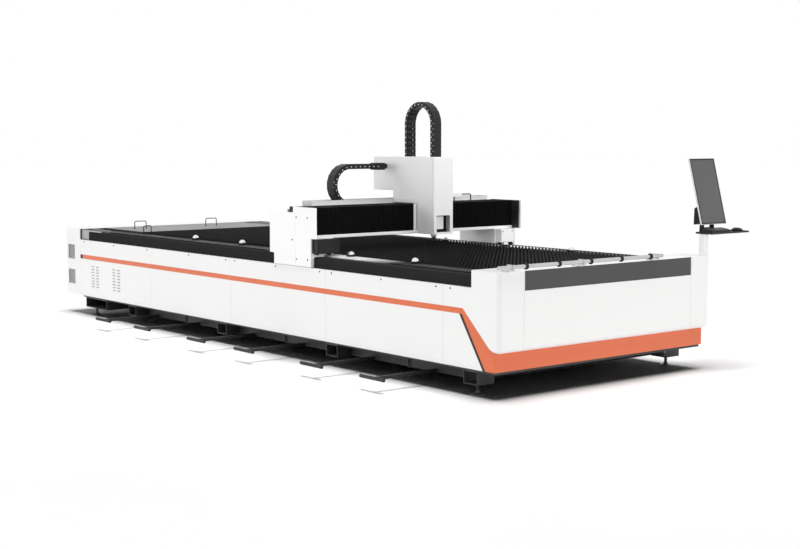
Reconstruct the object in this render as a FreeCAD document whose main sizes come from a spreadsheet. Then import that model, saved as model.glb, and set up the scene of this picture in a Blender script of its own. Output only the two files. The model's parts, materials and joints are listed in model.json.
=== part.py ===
import FreeCAD, Part
import math
import os
import re

import Sketcher

# An open flat-bed laser cutting machine: a welded bed with a slatted table, a gantry that travels
# along it, a carriage that crosses the gantry, and a cutting head that rises and falls.
# +X points to the front end with the loading roller, -Y is the side with the drawer handles, +Z is up.
# The origin is on the floor, under the middle of the whole machine. All sizes are in millimetres.

Vector = FreeCAD.Vector

SIZES = {
    # bed and its covers
    "bed_length": 6610,
    "bed_width": 2200,
    "skirt_lift": 195,
    "skirt_height": 570,
    "skirt_depth": 24,
    "front_depth": 283,
    "front_height": 695,
    "front_nose": 60,
    "front_flare": 15,
    "front_corner": 38,
    "front_lip": 44,
    "rear_depth": 330,
    "rear_height": 678,
    "rear_corner": 30,
    "cover_wall": 5,
    "band_height": 134,
    "band_sheet": 6,
    "band_bend": 4.8,
    "stripe_base": 377,
    "stripe_height": 42,
    "stripe_recess": 11,
    "stripe_sheet": 7,
    "stripe_foot": 120,
    "stripe_knee": 56,
    "knee_depth": 370,
    "panel_height": 137,
    "panel_length": 1761,
    "panel_offset": 5,
    "panel_recess": 9,
    "panel_sheet": 5,
    "vent_width": 150,
    "vent_height": 152,
    "vent_base": 104,
    "vent_pitch": 256,
    "vent_inset": 57,
    "vent_recess": 8,
    "vent_sheet": 6,
    "vent_slots": 5,
    "louvre_length": 62,
    "louvre_height": 7,
    "louvre_cut": 3,
    "louvre_rows": 8,
    "louvre_pitch": 29,
    "louvre_base": 100,
    "louvre_column": 96,
    "louvre_group": 446,
    "louvre_inset": 244,
    # frame, feet and drawers
    "frame_height": 558,
    "frame_clear": 18,
    "beam_width": 130,
    "beam_web": 12,
    "window_height": 380,
    "window_length": 800,
    "window_count": 6,
    "end_beam": 120,
    "tube_width": 150,
    "tube_height": 98,
    "tube_wall": 8,
    "tube_inset": 198,
    "tube_count": 4,
    "stub_length": 160,
    "tube_rear_gap": 454,
    "block_width": 450,
    "block_rear": 390,
    "foot_pad": 45,
    "foot_pad_rim": 8,
    "foot_pad_height": 24,
    "foot_stem": 13,
    "foot_nut": 22,
    "foot_nut_height": 14,
    "foot_inset": 96,
    "foot_sides": 12,
    "nut_sides": 6,
    "pan_depth": 78,
    "pan_wall": 5,
    "pan_length": 1900,
    "pan_lift": 88,
    "pan_clear": 18,
    "runner_flange": 30,
    "runner_sheet": 5,
    "handle_reach": 432,
    "handle_lift": 100,
    "handle_bar": 270,
    "handle_radius": 14,
    "handle_rod": 12,
    "handle_rod_shift": 30,
    "handle_sides": 12,
    "rod_inset": 72,
    "rod_creep": 40,
    # table
    "round_sides": 8,
    "table_width": 1600,
    "lid_length": 830,
    "deck_sheet": 5,
    "deck_rise": 120,
    "deck_foot": 22,
    "ledge_height": 50,
    "ledge_width": 40,
    "ledge_sheet": 6,
    "slat_count": 46,
    "slat_sheet": 6,
    "slat_height": 95,
    "slat_teeth": 6,
    "tooth_depth": 30,
    "slat_end_gap": 4,
    "ball_radius": 28,
    "cup_radius": 37,
    "cup_height": 24,
    "ball_rise": 8,
    "ball_first": 1210,
    "ball_pitch": 800,
    "ball_count": 5,
    "ball_from_edge": 42,
    # loading roller
    "roller_start": -60,
    "roller_length": 1670,
    "roller_radius": 10,
    "roller_rise": 36,
    "roller_reach": 35,
    "ring_radius": 20,
    "ring_width": 14,
    "ring_first": 260,
    "ring_pitch": 318,
    "ring_count": 5,
    "ring_sides": 12,
    "bracket_first": 130,
    "bracket_middle": 821,
    "bracket_last": 1610,
    "bracket_width": 16,
    "bracket_wall": 6,
    "bracket_foot": 70,
    "bracket_sheet": 10,
    # rear lid
    "lid_sheet": 3,
    "lid_height": 17,
    "lid_lap": 24,
    "lid_handle_bar": 9,
    "lid_handle_height": 78,
    "lid_handle_width": 150,
    "lid_handle_bend": 16,
    "lid_handle_inset": 345,
    "lid_handle_pair": 810,
    "lid_handle_shift": -120,
    "small_handle_height": 58,
    "small_handle_width": 100,
    "small_handle_inset": 40,
    "small_handle_shift": -700,
    "side_plate_length": 425,
    "side_plate_sheet": 4,
    # travel along the bed
    "rail_width": 23,
    "rail_height": 25,
    "rail_inset": 38,
    "rail_rear_gap": 40,
    "rail_front_gap": 10,
    "rack_width": 20,
    "rack_height": 26,
    "bellows_width": 112,
    "bellows_shift": 6,
    "bellows_rise": 86,
    "bellows_wall": 9,
    "bellows_pleat": 12,
    "bellows_front_folds": 20,
    "bellows_rear_folds": 32,
    "bellows_start": 165,
    "run_clear": 0.3,
    "fit_clear": 0.05,
    # gantry
    "gantry_setback": 2410,
    "leg_front": 215,
    "leg_rear": 255,
    "leg_width": 228,
    "leg_tuck": 3,
    "leg_gap": 2,
    "leg_lift": 6,
    "leg_clear": 15,
    "leg_wall": 12,
    "leg_floor": 24,
    "block_height": 30,
    "block_length": 120,
    "block_wall": 14,
    "cover_sheet": 8,
    "cover_front": 300,
    "cover_rear": 355,
    "cover_mid": 20,
    "cover_front_top": 475,
    "cover_rear_top": 429,
    "cover_toe": 75,
    "cover_toe_top": 229,
    "cover_heel": 60,
    "cover_heel_top": 90,
    "beam_depth": 250,
    "beam_height": 215,
    "beam_front": 130,
    "beam_lift": 230,
    "beam_wall": 12,
    "flange_depth": 70,
    "flange_sheet": 26,
    "tray_width": 140,
    "tray_length": 1720,
    "tray_sheet": 3,
    "tray_drop": 16,
    "tray_height": 60,
    "y_rail_width": 20,
    "y_rail_height": 20,
    "y_rail_inset": 30,
    "y_rack_width": 16,
    "rail_end_gap": 30,
    "y_bellows_reach": 50,
    "y_bellows_wall": 10,
    "y_bellows_pleat": 14,
    "y_bellows_back": 6,
    "y_bellows_proud": 8,
    "y_bellows_folds": 36,
    "y_bellows_clear": 3,
    "motor_reach": 72,
    "motor_width": 150,
    "motor_height": 112,
    "motor_flange": 12,
    "motor_drop": 6,
    "motor_shift": 10,
    "motor_step": 8,
    "bumper_radius": 13,
    "bumper_length": 34,
    "bumper_pitch": 85,
    "bumper_inset": 50,
    "bumper_tip": 5,
    "bumper_neck": 8,
    "bumper_land": 8.5,
    # carriage and cutting head
    "head_width": 210,
    "head_offset": 105,
    "head_top": 403,
    "head_overhang": 270,
    "head_overhang_rise": 115,
    "head_step": 6,
    "head_tray_gap": 1,
    "head_reach": 220,
    "head_wall": 12,
    "plate_gap": 2,
    "plate_inset": 4,
    "cavity_height": 500,
    "window_width": 145,
    "window_rise": 138,
    "window_sill": 17,
    "head_slots": 5,
    "head_slot_length": 60,
    "head_slot_height": 8,
    "head_slot_pitch": 22,
    "head_slot_cut": 4,
    "head_slot_inset": 90,
    "head_slot_rise": 60,
    "z_rail_width": 15,
    "z_rail_depth": 12,
    "z_rail_gap": 8,
    "z_slide_height": 260,
    "z_slide_depth": 22,
    "optic_width": 88,
    "optic_depth": 96,
    "optic_height": 210,
    "optic_lift": 30,
    "optic_corner": 8,
    "collar_radius": 32,
    "collar_length": 30,
    "barrel_radius": 26,
    "barrel_length": 26,
    "cone_radius": 19,
    "cone_land": 6,
    "cone_length": 28,
    "tip_radius": 7,
    "tip_length": 12,
    "tip_face": 2,
    "nose_sides": 16,
    # cable chains
    "z_chain_width": 90,
    "z_chain_height": 34,
    "z_chain_radius": 163,
    "z_chain_rise": 282,
    "z_chain_inset": 40,
    "z_chain_links": 19,
    "y_chain_width": 100,
    "y_chain_height": 45,
    "y_chain_radius": 155,
    "y_chain_top_run": 420,
    "y_chain_base_run": 470,
    "y_chain_links": 24,
    "y_chain_lift": 1.8,
    "link_gap": 0.3,
    "link_slope": 4,
    "link_wall": 9,
    # operator's console
    "post_width": 50,
    "post_wall": 3,
    "post_inset": 37,
    "post_margin": 0,
    "post_height": 166,
    "console_reach": 432,
    "console_depth": 160,
    "console_sheet": 4,
    "console_lip": 14,
    "console_start": 25,
    "keyboard_width": 226,
    "keyboard_depth": 96,
    "keyboard_gap": 3,
    "keyboard_inset": 6,
    "keyboard_height": 26,
    "keyboard_rear_height": 38,
    "mouse_width": 62,
    "mouse_length": 102,
    "mouse_height": 32,
    "mouse_shoulder": 13,
    "mouse_brow": 26,
    "mouse_slope": 6,
    "mouse_crown": 12,
    "mouse_sides": 12,
    "mouse_inset": 46,
    "hinge_radius": 9,
    "hinge_rise": 118,
    "hinge_inset": 27,
    "hinge_width": 120,
    "hinge_ear": 12,
    "ear_rear": 20,
    "ear_front": 26,
    "ear_head": 13,
    "monitor_width": 300,
    "monitor_height": 525,
    "monitor_thick": 34,
    "monitor_corner": 14,
    "monitor_tilt": 15,
    "monitor_bezel": 16,
    "monitor_drop": 60,
    "monitor_lap": 51,
    "screen_sheet": 4,
    "knuckle_reach": 26,
    "knuckle_wall": 7,
}

PLACES = {
    "rear_x": "-(bed_length + roller_reach + ring_radius) / 2",
    "front_x": "rear_x + bed_length",
    "band_x": "front_x - front_nose",
    "front_joint": "front_x - front_depth",
    "knee_x": "front_x - knee_depth",
    "rear_joint": "rear_x + rear_depth",
    "half_width": "bed_width / 2",
    "skirt_top": "skirt_lift + skirt_height",
    "front_top": "skirt_lift + front_height",
    "rear_top": "skirt_lift + rear_height",
    "band_top": "skirt_lift + band_height",
    "stripe_low": "skirt_lift + stripe_base",
    "stripe_top": "stripe_low + stripe_height",
    "panel_low": "front_top - panel_height",
    # frame
    "frame_low": "skirt_lift - frame_clear",
    "frame_top": "frame_low + frame_height",
    "frame_side": "half_width - skirt_depth",
    "frame_front": "band_x - band_sheet",
    "beam_inner": "frame_side - beam_width",
    "tube_low": "frame_low - tube_height",
    "tube_first": "band_x - tube_inset - tube_width / 2",
    "block_x": "rear_x + block_rear",
    "tube_last": "block_x + block_width + tube_rear_gap + tube_width / 2",
    "tube_pitch": "(tube_first - tube_last) / (tube_count - 1)",
    "window_mid": "(frame_low + frame_top) / 2",
    # drawers
    "bay_length": "tube_pitch - tube_width",
    "pan_width": "bay_length / 2 - 2 * pan_clear",
    "pan_top": "pan_lift + pan_depth",
    # table
    "table_x": "rear_joint + lid_length",
    "deck_top": "frame_top + deck_rise",
    "deck_outer": "beam_inner + deck_foot",
    "deck_inner": "table_width / 2",
    "ledge_top": "frame_top + ledge_height",
    "slat_low": "ledge_top",
    "slat_reach": "deck_inner - slat_end_gap",
    # travel along the bed
    "rail_y": "frame_side - rail_inset",
    "rail_top": "frame_top + rail_height",
    "rack_y": "rail_y - rail_width / 2 - block_wall - 2 * run_clear - rack_width / 2",
    "bellows_mid": "rail_y - bellows_shift",
    "bellows_top": "skirt_top + bellows_rise",
    # gantry
    "gantry_x": "front_x - gantry_setback",
    "leg_front_x": "gantry_x + leg_front",
    "leg_rear_x": "gantry_x - leg_rear",
    "leg_low": "skirt_top + leg_lift",
    "leg_outer": "half_width + front_flare - leg_tuck",
    "leg_inner": "leg_outer - leg_width",
    "leg_shelf": "deck_top + leg_clear",
    "leg_deck_side": "deck_outer + side_plate_sheet + leg_gap",
    "flange_low": "skirt_top + beam_lift",
    "beam_low": "flange_low + flange_sheet",
    "beam_top": "beam_low + beam_height",
    "beam_face": "gantry_x + beam_front",
    "beam_back": "beam_face - beam_depth",
    "flange_face": "beam_face + flange_depth",
    "tray_low": "beam_top - tray_drop",
    "trough_top": "tray_low + tray_height",
    # carriage
    "head_left": "head_offset - head_width / 2",
    "head_right": "head_offset + head_width / 2",
    "column_back": "flange_face",
    "head_front": "column_back + head_reach",
    "head_top_z": "beam_top + head_top",
    "overhang_low": "beam_top + head_overhang_rise",
    "step_x": "beam_back - head_step",
    "step_low": "trough_top + head_tray_gap",
    "cavity_top": "flange_low + cavity_height",
    "slide_back": "column_back + head_wall + z_rail_depth + run_clear",
    "slide_low": "flange_low + optic_lift",
    # console
    "post_x": "front_x - post_inset",
    "post_y": "half_width - post_margin - post_width / 2",
    "tray_top": "front_top + post_height",
    "console_back": "post_x - console_depth / 2",
    "console_front": "post_x + console_depth / 2",
    "console_near": "post_y - post_width / 2 + console_start",
    "console_far": "half_width + console_reach",
    "console_floor": "tray_top + console_sheet",
    "hinge_x": "console_back + hinge_inset",
    "hinge_y": "console_near - monitor_lap + monitor_width / 2",
    "hinge_z": "tray_top + hinge_rise",
}

doc = FreeCAD.newDocument("laser_cutting_machine")
NAMES = re.compile(r"[A-Za-z_][A-Za-z_0-9]*")
ORIGIN = -1


def fill(label, rows, text_of):
    sheet = doc.addObject("Spreadsheet::Sheet", label)
    for row, (alias, value) in enumerate(rows.items(), start=1):
        sheet.set(f"A{row}", alias)
        sheet.set(f"B{row}", text_of(value))
        sheet.setAlias(f"B{row}", alias)
    return sheet


def sized(match):
    word = match.group()
    return f"Sizes.{word}" if word in SIZES else word


def placed(match):
    word = match.group()
    return f"Places.{word}" if word in PLACES else sized(match)


def tie(text):
    """An expression over the two sheets, written with their aliases alone."""
    return NAMES.sub(placed, text)


sizes = fill("Sizes", SIZES, str)
places = fill("Places", PLACES, lambda text: "=" + NAMES.sub(sized, text))
doc.recompute()


def size(alias):
    sheet = sizes if alias in SIZES else places
    return float(sheet.get(alias))


# --- ways of making a piece ---


def block(name, xs, ys, zs):
    """A box between two expressions along each axis."""
    piece = doc.addObject("Part::Box", name)
    for (low, high), edge, axis in zip((xs, ys, zs), ("Length", "Width", "Height"), "xyz"):
        piece.setExpression(edge, tie(f"({high}) - ({low})"))
        piece.setExpression(f"Placement.Base.{axis}", tie(low))
    return piece


def rod(name, axis, radius, span, across, sides=0):
    """A round bar, or a many-sided one, along one axis; across gives its place on the other two."""
    piece = doc.addObject("Part::Prism" if sides else "Part::Cylinder", name)
    turn = {
        "x": FreeCAD.Rotation(Vector(0, 1, 0), 90),
        "y": FreeCAD.Rotation(Vector(1, 0, 0), -90),
        "z": FreeCAD.Rotation(),
    }[axis]
    piece.Placement = FreeCAD.Placement(Vector(), turn)
    if sides:
        piece.Polygon = sides
    piece.setExpression("Circumradius" if sides else "Radius", tie(radius))
    piece.setExpression("Height", tie(f"({span[1]}) - ({span[0]})"))
    others = [letter for letter in "xyz" if letter != axis]
    for letter, text in zip([axis] + others, [span[0]] + list(across)):
        piece.setExpression(f"Placement.Base.{letter}", tie(text))
    return piece


def fuse(name, pieces):
    joined = doc.addObject("Part::MultiFuse", name)
    joined.Shapes = pieces
    joined.Refine = True
    return joined


def cut(name, base, tool):
    rest = doc.addObject("Part::Cut", name)
    rest.Base = base
    rest.Tool = tool
    return rest


def group(name, pieces):
    """Separate solids that share one node."""
    together = doc.addObject("Part::Compound", name)
    together.Links = pieces
    return together


def mirrored(name, piece):
    copy = doc.addObject("Part::Mirroring", name)
    copy.Source = piece
    copy.Normal = Vector(0, 1, 0)
    return copy


def made(name, shape):
    """A piece whose form only a loop can give; it reads its sizes from the sheets."""
    piece = doc.addObject("Part::Feature", name)
    piece.Shape = shape
    return piece


def sketch_on(body, role, loops, height):
    """Closed outlines of straight edges on an origin plane; each corner is tied to the sheets."""
    sketch = body.newObject("Sketcher::SketchObject", f"{body.Name}_outline")
    plane = next(f for f in body.Origin.OriginFeatures if f.Role == role)
    sketch.AttachmentSupport = [(plane, "")]
    sketch.MapMode = "FlatFace"
    sketch.setExpression("AttachmentOffset.Base.z", tie(height))
    for corners in loops:
        first = sketch.GeometryCount
        count = len(corners)
        start = [Vector(math.cos(2 * math.pi * i / count), math.sin(2 * math.pi * i / count), 0)
                 for i in range(count)]
        for i in range(count):
            sketch.addGeometry(Part.LineSegment(start[i], start[(i + 1) % count]))
        for i in range(count):
            after = first + (i + 1) % count
            sketch.addConstraint(Sketcher.Constraint("Coincident", first + i, 2, after, 1))
        for i, corner in enumerate(corners):
            for kind, text, value in zip(("DistanceX", "DistanceY"), corner, start[i]):
                edge = first + i
                index = sketch.addConstraint(Sketcher.Constraint(kind, ORIGIN, 1, edge, 1, value))
                label = f"{kind}{edge}"
                sketch.renameConstraint(index, label)
                sketch.setExpression(f"Constraints.{label}", tie(text))
    return sketch


def pad(body, role, loops, low, high):
    """Adds an outline's solid between two places along the plane's world axis."""
    height = f"-({high})" if role == "XZ_Plane" else low
    feature = body.newObject("PartDesign::Pad", f"{body.Name}_pad")
    feature.Profile = sketch_on(body, role, loops, height)
    feature.setExpression("Length", tie(f"({high}) - ({low})"))
    body.Tip = feature
    return feature


def pocket(body, role, loops, low, high):
    """Takes an outline's solid away between two places along the plane's world axis."""
    height = f"-({low})" if role == "XZ_Plane" else high
    feature = body.newObject("PartDesign::Pocket", f"{body.Name}_pocket")
    feature.Profile = sketch_on(body, role, loops, height)
    feature.setExpression("Length", tie(f"({high}) - ({low})"))
    body.Tip = feature
    return feature


def repeat(body, features, letter, length, count, reverse=False):
    """Copies features along an origin axis; length is from the first copy to the last."""
    pattern = body.newObject("PartDesign::LinearPattern", f"{body.Name}_row")
    pattern.Originals = features
    axis = next(f for f in body.Origin.OriginFeatures if f.Role == f"{letter}_Axis")
    pattern.Direction = (axis, [""])
    pattern.Reversed = reverse
    pattern.setExpression("Length", tie(length))
    pattern.setExpression("Occurrences", tie(count))
    body.Tip = pattern
    return pattern


def soften(body, radius, wanted):
    """Rounds the straight edges of the body that the test picks by their two ends."""
    doc.recompute()
    before = body.Tip
    names = [f"Edge{i}" for i, edge in enumerate(body.Shape.Edges, start=1)
             if len(edge.Vertexes) == 2 and wanted(edge.Vertexes[0].Point, edge.Vertexes[1].Point)]
    feature = body.newObject("PartDesign::Fillet", f"{body.Name}_round")
    feature.Base = (before, names)
    feature.setExpression("Radius", tie(radius))
    body.Tip = feature
    return feature


def rectangle(xs, ys):
    return [(xs[0], ys[0]), (xs[1], ys[0]), (xs[1], ys[1]), (xs[0], ys[1])]


def body_of(name):
    return doc.addObject("PartDesign::Body", name)


def same(a, b):
    return abs(a - b) < 0.01


def upright(a, b):
    return same(a.x, b.x) and same(a.y, b.y)


NODES = {}


def keep(name, piece):
    piece.Label = name
    NODES[name] = piece
    return piece


def pair(near):
    """A piece and its mirror image on the other long side."""
    return [near, mirrored(f"{near.Name}_far", near)]


def keep_pair(name, near):
    for side, piece in zip(("near", "far"), pair(near)):
        keep(f"{name}_{side}", piece)


# --- the welded bed ---


def bed_frame():
    frame = body_of("bed_frame")
    sides = ("-frame_side", "frame_side")
    well = ("-beam_inner", "beam_inner")
    pad(frame, "XY_Plane", [rectangle(("rear_joint", "frame_front"), sides)], "frame_low", "frame_top")
    inner = ("rear_joint + end_beam", "frame_front - end_beam")
    pocket(frame, "XY_Plane", [rectangle(inner, well)], "frame_low", "frame_top")
    pitch = "(frame_front - rear_joint) / window_count"
    first = f"rear_joint + {pitch} / 2"
    opening = rectangle(
        (f"{first} - window_length / 2", f"{first} + window_length / 2"),
        ("window_mid - window_height / 2", "window_mid + window_height / 2"),
    )
    for low, high in (("-frame_side", "-beam_inner - beam_web"), ("beam_inner + beam_web", "frame_side")):
        cut_out = pocket(frame, "XZ_Plane", [opening], low, high)
        repeat(frame, [cut_out], "X", f"{pitch} * (window_count - 1)", "window_count")
    zs = ("tube_low", "frame_low")
    hollow = ("tube_low + tube_wall", "frame_low - tube_wall")

    def tube(middle, width, ys):
        outer = rectangle((f"{middle} - {width} / 2", f"{middle} + {width} / 2"), zs)
        inner = (f"{middle} - {width} / 2 + tube_wall", f"{middle} + {width} / 2 - tube_wall")
        bore = rectangle(inner, hollow)
        return pad(frame, "XZ_Plane", [outer, bore], *ys)

    across = ("-frame_side", "frame_side")
    tube("block_x + block_width / 2", "block_width", across)
    tube("tube_first", "tube_width", ("-frame_side", "stub_length - frame_side"))
    tube("tube_first", "tube_width", ("frame_side - stub_length", "frame_side"))
    second_tube = tube("tube_first - tube_pitch", "tube_width", across)
    repeat(frame, [second_tube], "X", "tube_pitch * (tube_count - 2)", "tube_count - 1", reverse=True)
    return keep("bed_frame", frame)


def side_skirt(side, thick, groove, columns):
    """A folded side panel with a recess for the coloured stripe; the near one has cooling louvres."""
    skirt = body_of(f"side_skirt_{side}")
    outline = [
        ("rear_joint", "skirt_lift"),
        ("frame_front", "skirt_lift"),
        ("frame_front", "band_top"),
        ("knee_x", "stripe_top"),
        ("knee_x", "skirt_top"),
        ("rear_joint", "skirt_top"),
    ]
    pad(skirt, "XZ_Plane", [outline], *thick)
    pocket(skirt, "XZ_Plane", [stripe_outline("rear_joint")], *groove)
    low = "skirt_lift + louvre_base"
    for shift in columns:
        left = f"rear_joint + louvre_inset + {shift}"
        slot = rectangle((left, f"{left} + louvre_length"), (low, f"{low} + louvre_height"))
        opening = pocket(skirt, "XZ_Plane", [slot], "-half_width", "-half_width + louvre_cut")
        repeat(skirt, [opening], "Z", "louvre_pitch * (louvre_rows - 1)", "louvre_rows")
    keep(f"side_skirt_{side}", skirt)


def side_skirts():
    columns = ("0", "louvre_column", "louvre_group", "louvre_group + louvre_column")
    near_groove = ("-half_width", "-half_width + stripe_recess")
    far_groove = ("half_width - stripe_recess", "half_width")
    side_skirt("near", ("-half_width", "-frame_side"), near_groove, columns)
    side_skirt("far", ("frame_side", "half_width"), far_groove, ())


def stripe_outline(rear):
    """A level stripe that turns down at a knee to the front bottom corner."""
    return [
        (rear, "stripe_low"),
        ("knee_x - stripe_knee", "stripe_low"),
        ("band_x - stripe_foot", "skirt_lift"),
        ("frame_front", "skirt_lift"),
        ("frame_front", "band_top"),
        ("knee_x", "stripe_top"),
        (rear, "stripe_top"),
    ]


def side_stripes():
    stripe = body_of("side_stripe_near")
    seat = "-half_width + stripe_recess"
    pad(stripe, "XZ_Plane", [stripe_outline("rear_joint + cover_wall")], f"{seat} - stripe_sheet", seat)
    keep("side_stripes", group("side_stripes", pair(stripe)))


def front_housing():
    housing = body_of("front_housing")
    flank = "half_width + front_flare"
    outline = [
        ("knee_x", "stripe_top"),
        ("frame_front", "band_top"),
        ("front_x", "band_top"),
        ("front_x", "front_top"),
        ("front_joint", "front_top"),
        ("front_joint", "skirt_top"),
        ("knee_x", "skirt_top"),
    ]
    pad(housing, "XZ_Plane", [outline], f"-({flank})", flank)
    nose = size("front_x")
    soften(housing, "front_corner", lambda a, b: upright(a, b) and same(a.x, nose))
    lip = size("band_top")
    soften(housing, "front_lip",
           lambda a, b: same(a.x, nose) and same(b.x, nose) and same(a.z, lip) and same(b.z, lip))
    inside = [
        ("knee_x", "skirt_lift"),
        ("frame_front", "skirt_lift"),
        ("frame_front", "band_top + front_lip"),
        ("front_x - panel_recess - cover_wall", "band_top + front_lip"),
        ("front_x - panel_recess - cover_wall", "front_top - cover_wall"),
        ("front_joint", "front_top - cover_wall"),
        ("front_joint", "skirt_top"),
        ("knee_x", "skirt_top"),
    ]
    pocket(housing, "XZ_Plane", [inside], "-frame_side", "frame_side")
    recess = rectangle(
        ("panel_offset - panel_length / 2", "panel_offset + panel_length / 2"),
        ("panel_low", "front_top"),
    )
    pocket(housing, "YZ_Plane", [recess], "front_x - panel_recess", "front_x")
    keep("front_housing", housing)
    across = ("panel_offset - panel_length / 2", "panel_offset + panel_length / 2")
    thick = ("front_x - panel_recess", "front_x - panel_recess + panel_sheet")
    keep("front_panel", block("front_panel", thick, across, ("panel_low", "front_top")))
    band = body_of("front_band")
    front = rectangle(("band_x - band_sheet", "band_x"), ("-half_width", "half_width"))
    pad(band, "XY_Plane", [front], "skirt_lift", "band_top")
    edge = size("band_x")
    soften(band, "band_bend", lambda a, b: upright(a, b) and same(a.x, edge))
    keep("front_band", band)


def rear_housing():
    housing = body_of("rear_housing")
    plan = rectangle(("rear_x", "rear_joint"), ("-half_width", "half_width"))
    pad(housing, "XY_Plane", [plan], "skirt_lift", "rear_top")
    back = size("rear_x")
    soften(housing, "rear_corner", lambda a, b: upright(a, b) and same(a.x, back))
    inner = ("-half_width + vent_recess + cover_wall", "half_width - vent_recess - cover_wall")
    hollow = rectangle(inner, ("skirt_lift + cover_wall", "rear_top - cover_wall"))
    pocket(housing, "YZ_Plane", [hollow], "rear_x + cover_wall", "rear_joint")
    left = "rear_x + vent_inset"
    low = "skirt_lift + vent_base"
    vent = rectangle((left, f"{left} + vent_width"), (low, f"{low} + vent_height"))
    recesses = (("-half_width", "-half_width + vent_recess"), ("half_width - vent_recess", "half_width"))
    for low_y, high_y in recesses:
        window = pocket(housing, "XZ_Plane", [vent], low_y, high_y)
        repeat(housing, [window], "Z", "vent_pitch", "2")
    return keep("rear_housing", housing)


def vent_grilles():
    """Four slotted plates, one in each recess of the rear housing."""
    width = size("vent_width")
    height = size("vent_height")
    depth = size("vent_sheet")
    count = int(size("vent_slots"))
    bar = height / (2 * count + 1)
    plate = Part.makeBox(width, depth, height)
    slot = Part.makeBox(width - 2 * bar, depth, bar)
    slots = [slot.translated(Vector(bar, 0, bar * (2 * i + 1))) for i in range(count)]
    plate = plate.cut(Part.makeCompound(slots))
    left = size("rear_x") + size("vent_inset")
    low = size("skirt_lift") + size("vent_base")
    seat = size("half_width") - size("vent_recess")
    grilles = []
    for y in (-seat - depth, seat):
        for i in range(2):
            grilles.append(plate.translated(Vector(left, y, low + i * size("vent_pitch"))))
    return keep("vent_grilles", made("vent_grilles", Part.makeCompound(grilles)))


def faceted(profile, sides, stretch=1):
    """A small round piece with flat sides, from (radius, height) pairs going upwards."""
    turns = [2 * math.pi * i / sides for i in range(sides)]
    rings = [[Vector(stretch * radius * math.cos(turn), radius * math.sin(turn), height) for turn in turns]
             for radius, height in profile]
    outlines = [rings[0], rings[-1]]
    for low, high in zip(rings, rings[1:]):
        outlines += [[low[i - 1], low[i], high[i], high[i - 1]] for i in range(sides)]
    faces = [Part.Face(Part.makePolygon(corners + corners[:1])) for corners in outlines]
    solid = Part.makeSolid(Part.makeShell(faces))
    if solid.Volume < 0:
        solid.reverse()
    return solid


def levelling_feet():
    """Four threaded feet: a dished pad, a stem and a lock nut under the end tubes."""
    top = size("tube_low")
    pad_radius = size("foot_pad")
    stem = size("foot_stem")
    nut = size("foot_nut")
    nut_low = top - size("foot_nut_height")
    pad_top = size("foot_pad_height")
    sides = int(size("foot_sides"))
    foot = faceted([(pad_radius, 0), (pad_radius, size("foot_pad_rim")), (stem, pad_top)], sides)
    foot = foot.fuse(faceted([(stem, pad_top), (stem, nut_low)], sides))
    foot = foot.fuse(faceted([(nut, nut_low), (nut, top)], int(size("nut_sides")))).removeSplitter()
    xs = (size("tube_first"), size("block_x") + size("foot_inset"))
    y = size("half_width") - size("foot_inset")
    feet = [foot.translated(Vector(x, side * y, 0)) for x in xs for side in (-1, 1)]
    return keep("levelling_feet", made("levelling_feet", Part.makeCompound(feet)))


# --- slag drawers under the table ---


def drawer_runners():
    """Angle bars along the tubes, and a tee under the middle of each bay, that the pans slide on."""
    bars = []
    for bay in range(int(size("tube_count")) - 1):
        front = f"tube_first - tube_pitch * {bay} - tube_width / 2"
        back = f"tube_first - tube_pitch * {bay + 1} + tube_width / 2"
        middle = f"tube_first - tube_pitch * ({bay} + 0.5)"
        ys = ("-pan_length / 2", "pan_length / 2")
        floor = ("pan_lift - runner_sheet", "pan_lift")
        bars.append(block(f"runner_front_{bay}", (f"{front} - runner_flange", front), ys, floor))
        bars.append(block(f"runner_back_{bay}", (back, f"{back} + runner_flange"), ys, floor))
        flange = (f"{middle} - runner_flange", f"{middle} + runner_flange")
        foot = block(f"runner_foot_{bay}", flange, ys, floor)
        web = block(f"runner_web_{bay}", (f"{middle} - runner_sheet", f"{middle} + runner_sheet"), ys,
                    ("pan_lift", "frame_low"))
        bars.append(fuse(f"runner_middle_{bay}", [foot, web]))
    return keep("drawer_runners", group("drawer_runners", bars))


def slag_drawer(number):
    """A shallow steel pan with a long pull rod that ends in a crossbar outside the bed."""
    bay = (number - 1) // 2
    half = (number - 1) % 2
    side = 1 - 2 * half
    middle = f"tube_first - tube_pitch * ({bay} + 0.5) + bay_length / 4 * {side}"
    rod_x = f"{middle} - rod_inset - rod_creep * {bay}"
    bar_x = f"{rod_x} - handle_rod_shift"
    pan = body_of(f"slag_drawer_{number}")
    xs = (f"{middle} - pan_width / 2", f"{middle} + pan_width / 2")
    ys = ("-pan_length / 2", "pan_length / 2")
    pad(pan, "XY_Plane", [rectangle(xs, ys)], "pan_lift + run_clear", "pan_top")
    inner = (f"{xs[0]} + pan_wall", f"{xs[1]} - pan_wall")
    lengthways = ("-pan_length / 2 + pan_wall", "pan_length / 2 - pan_wall")
    pocket(pan, "XY_Plane", [rectangle(inner, lengthways)], "pan_lift + run_clear + pan_wall", "pan_top")
    reach = "-half_width - handle_reach + handle_radius"
    pull = block(f"pull_{number}", (f"{rod_x} - handle_rod", f"{rod_x} + handle_rod"),
                 (reach, "-pan_length / 2 + pan_wall / 2"),
                 ("handle_lift - handle_rod", "handle_lift + handle_rod"))
    bar = rod(f"bar_{number}", "x", "handle_radius",
              (f"{bar_x} - handle_bar / 2", f"{bar_x} + handle_bar / 2"), (reach, "handle_lift"),
              int(size("handle_sides")))
    whole = fuse(f"slag_drawer_{number}_whole", [pan, pull, bar])
    return keep(f"slag_drawer_{number}", whole)


# --- the table ---


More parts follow.
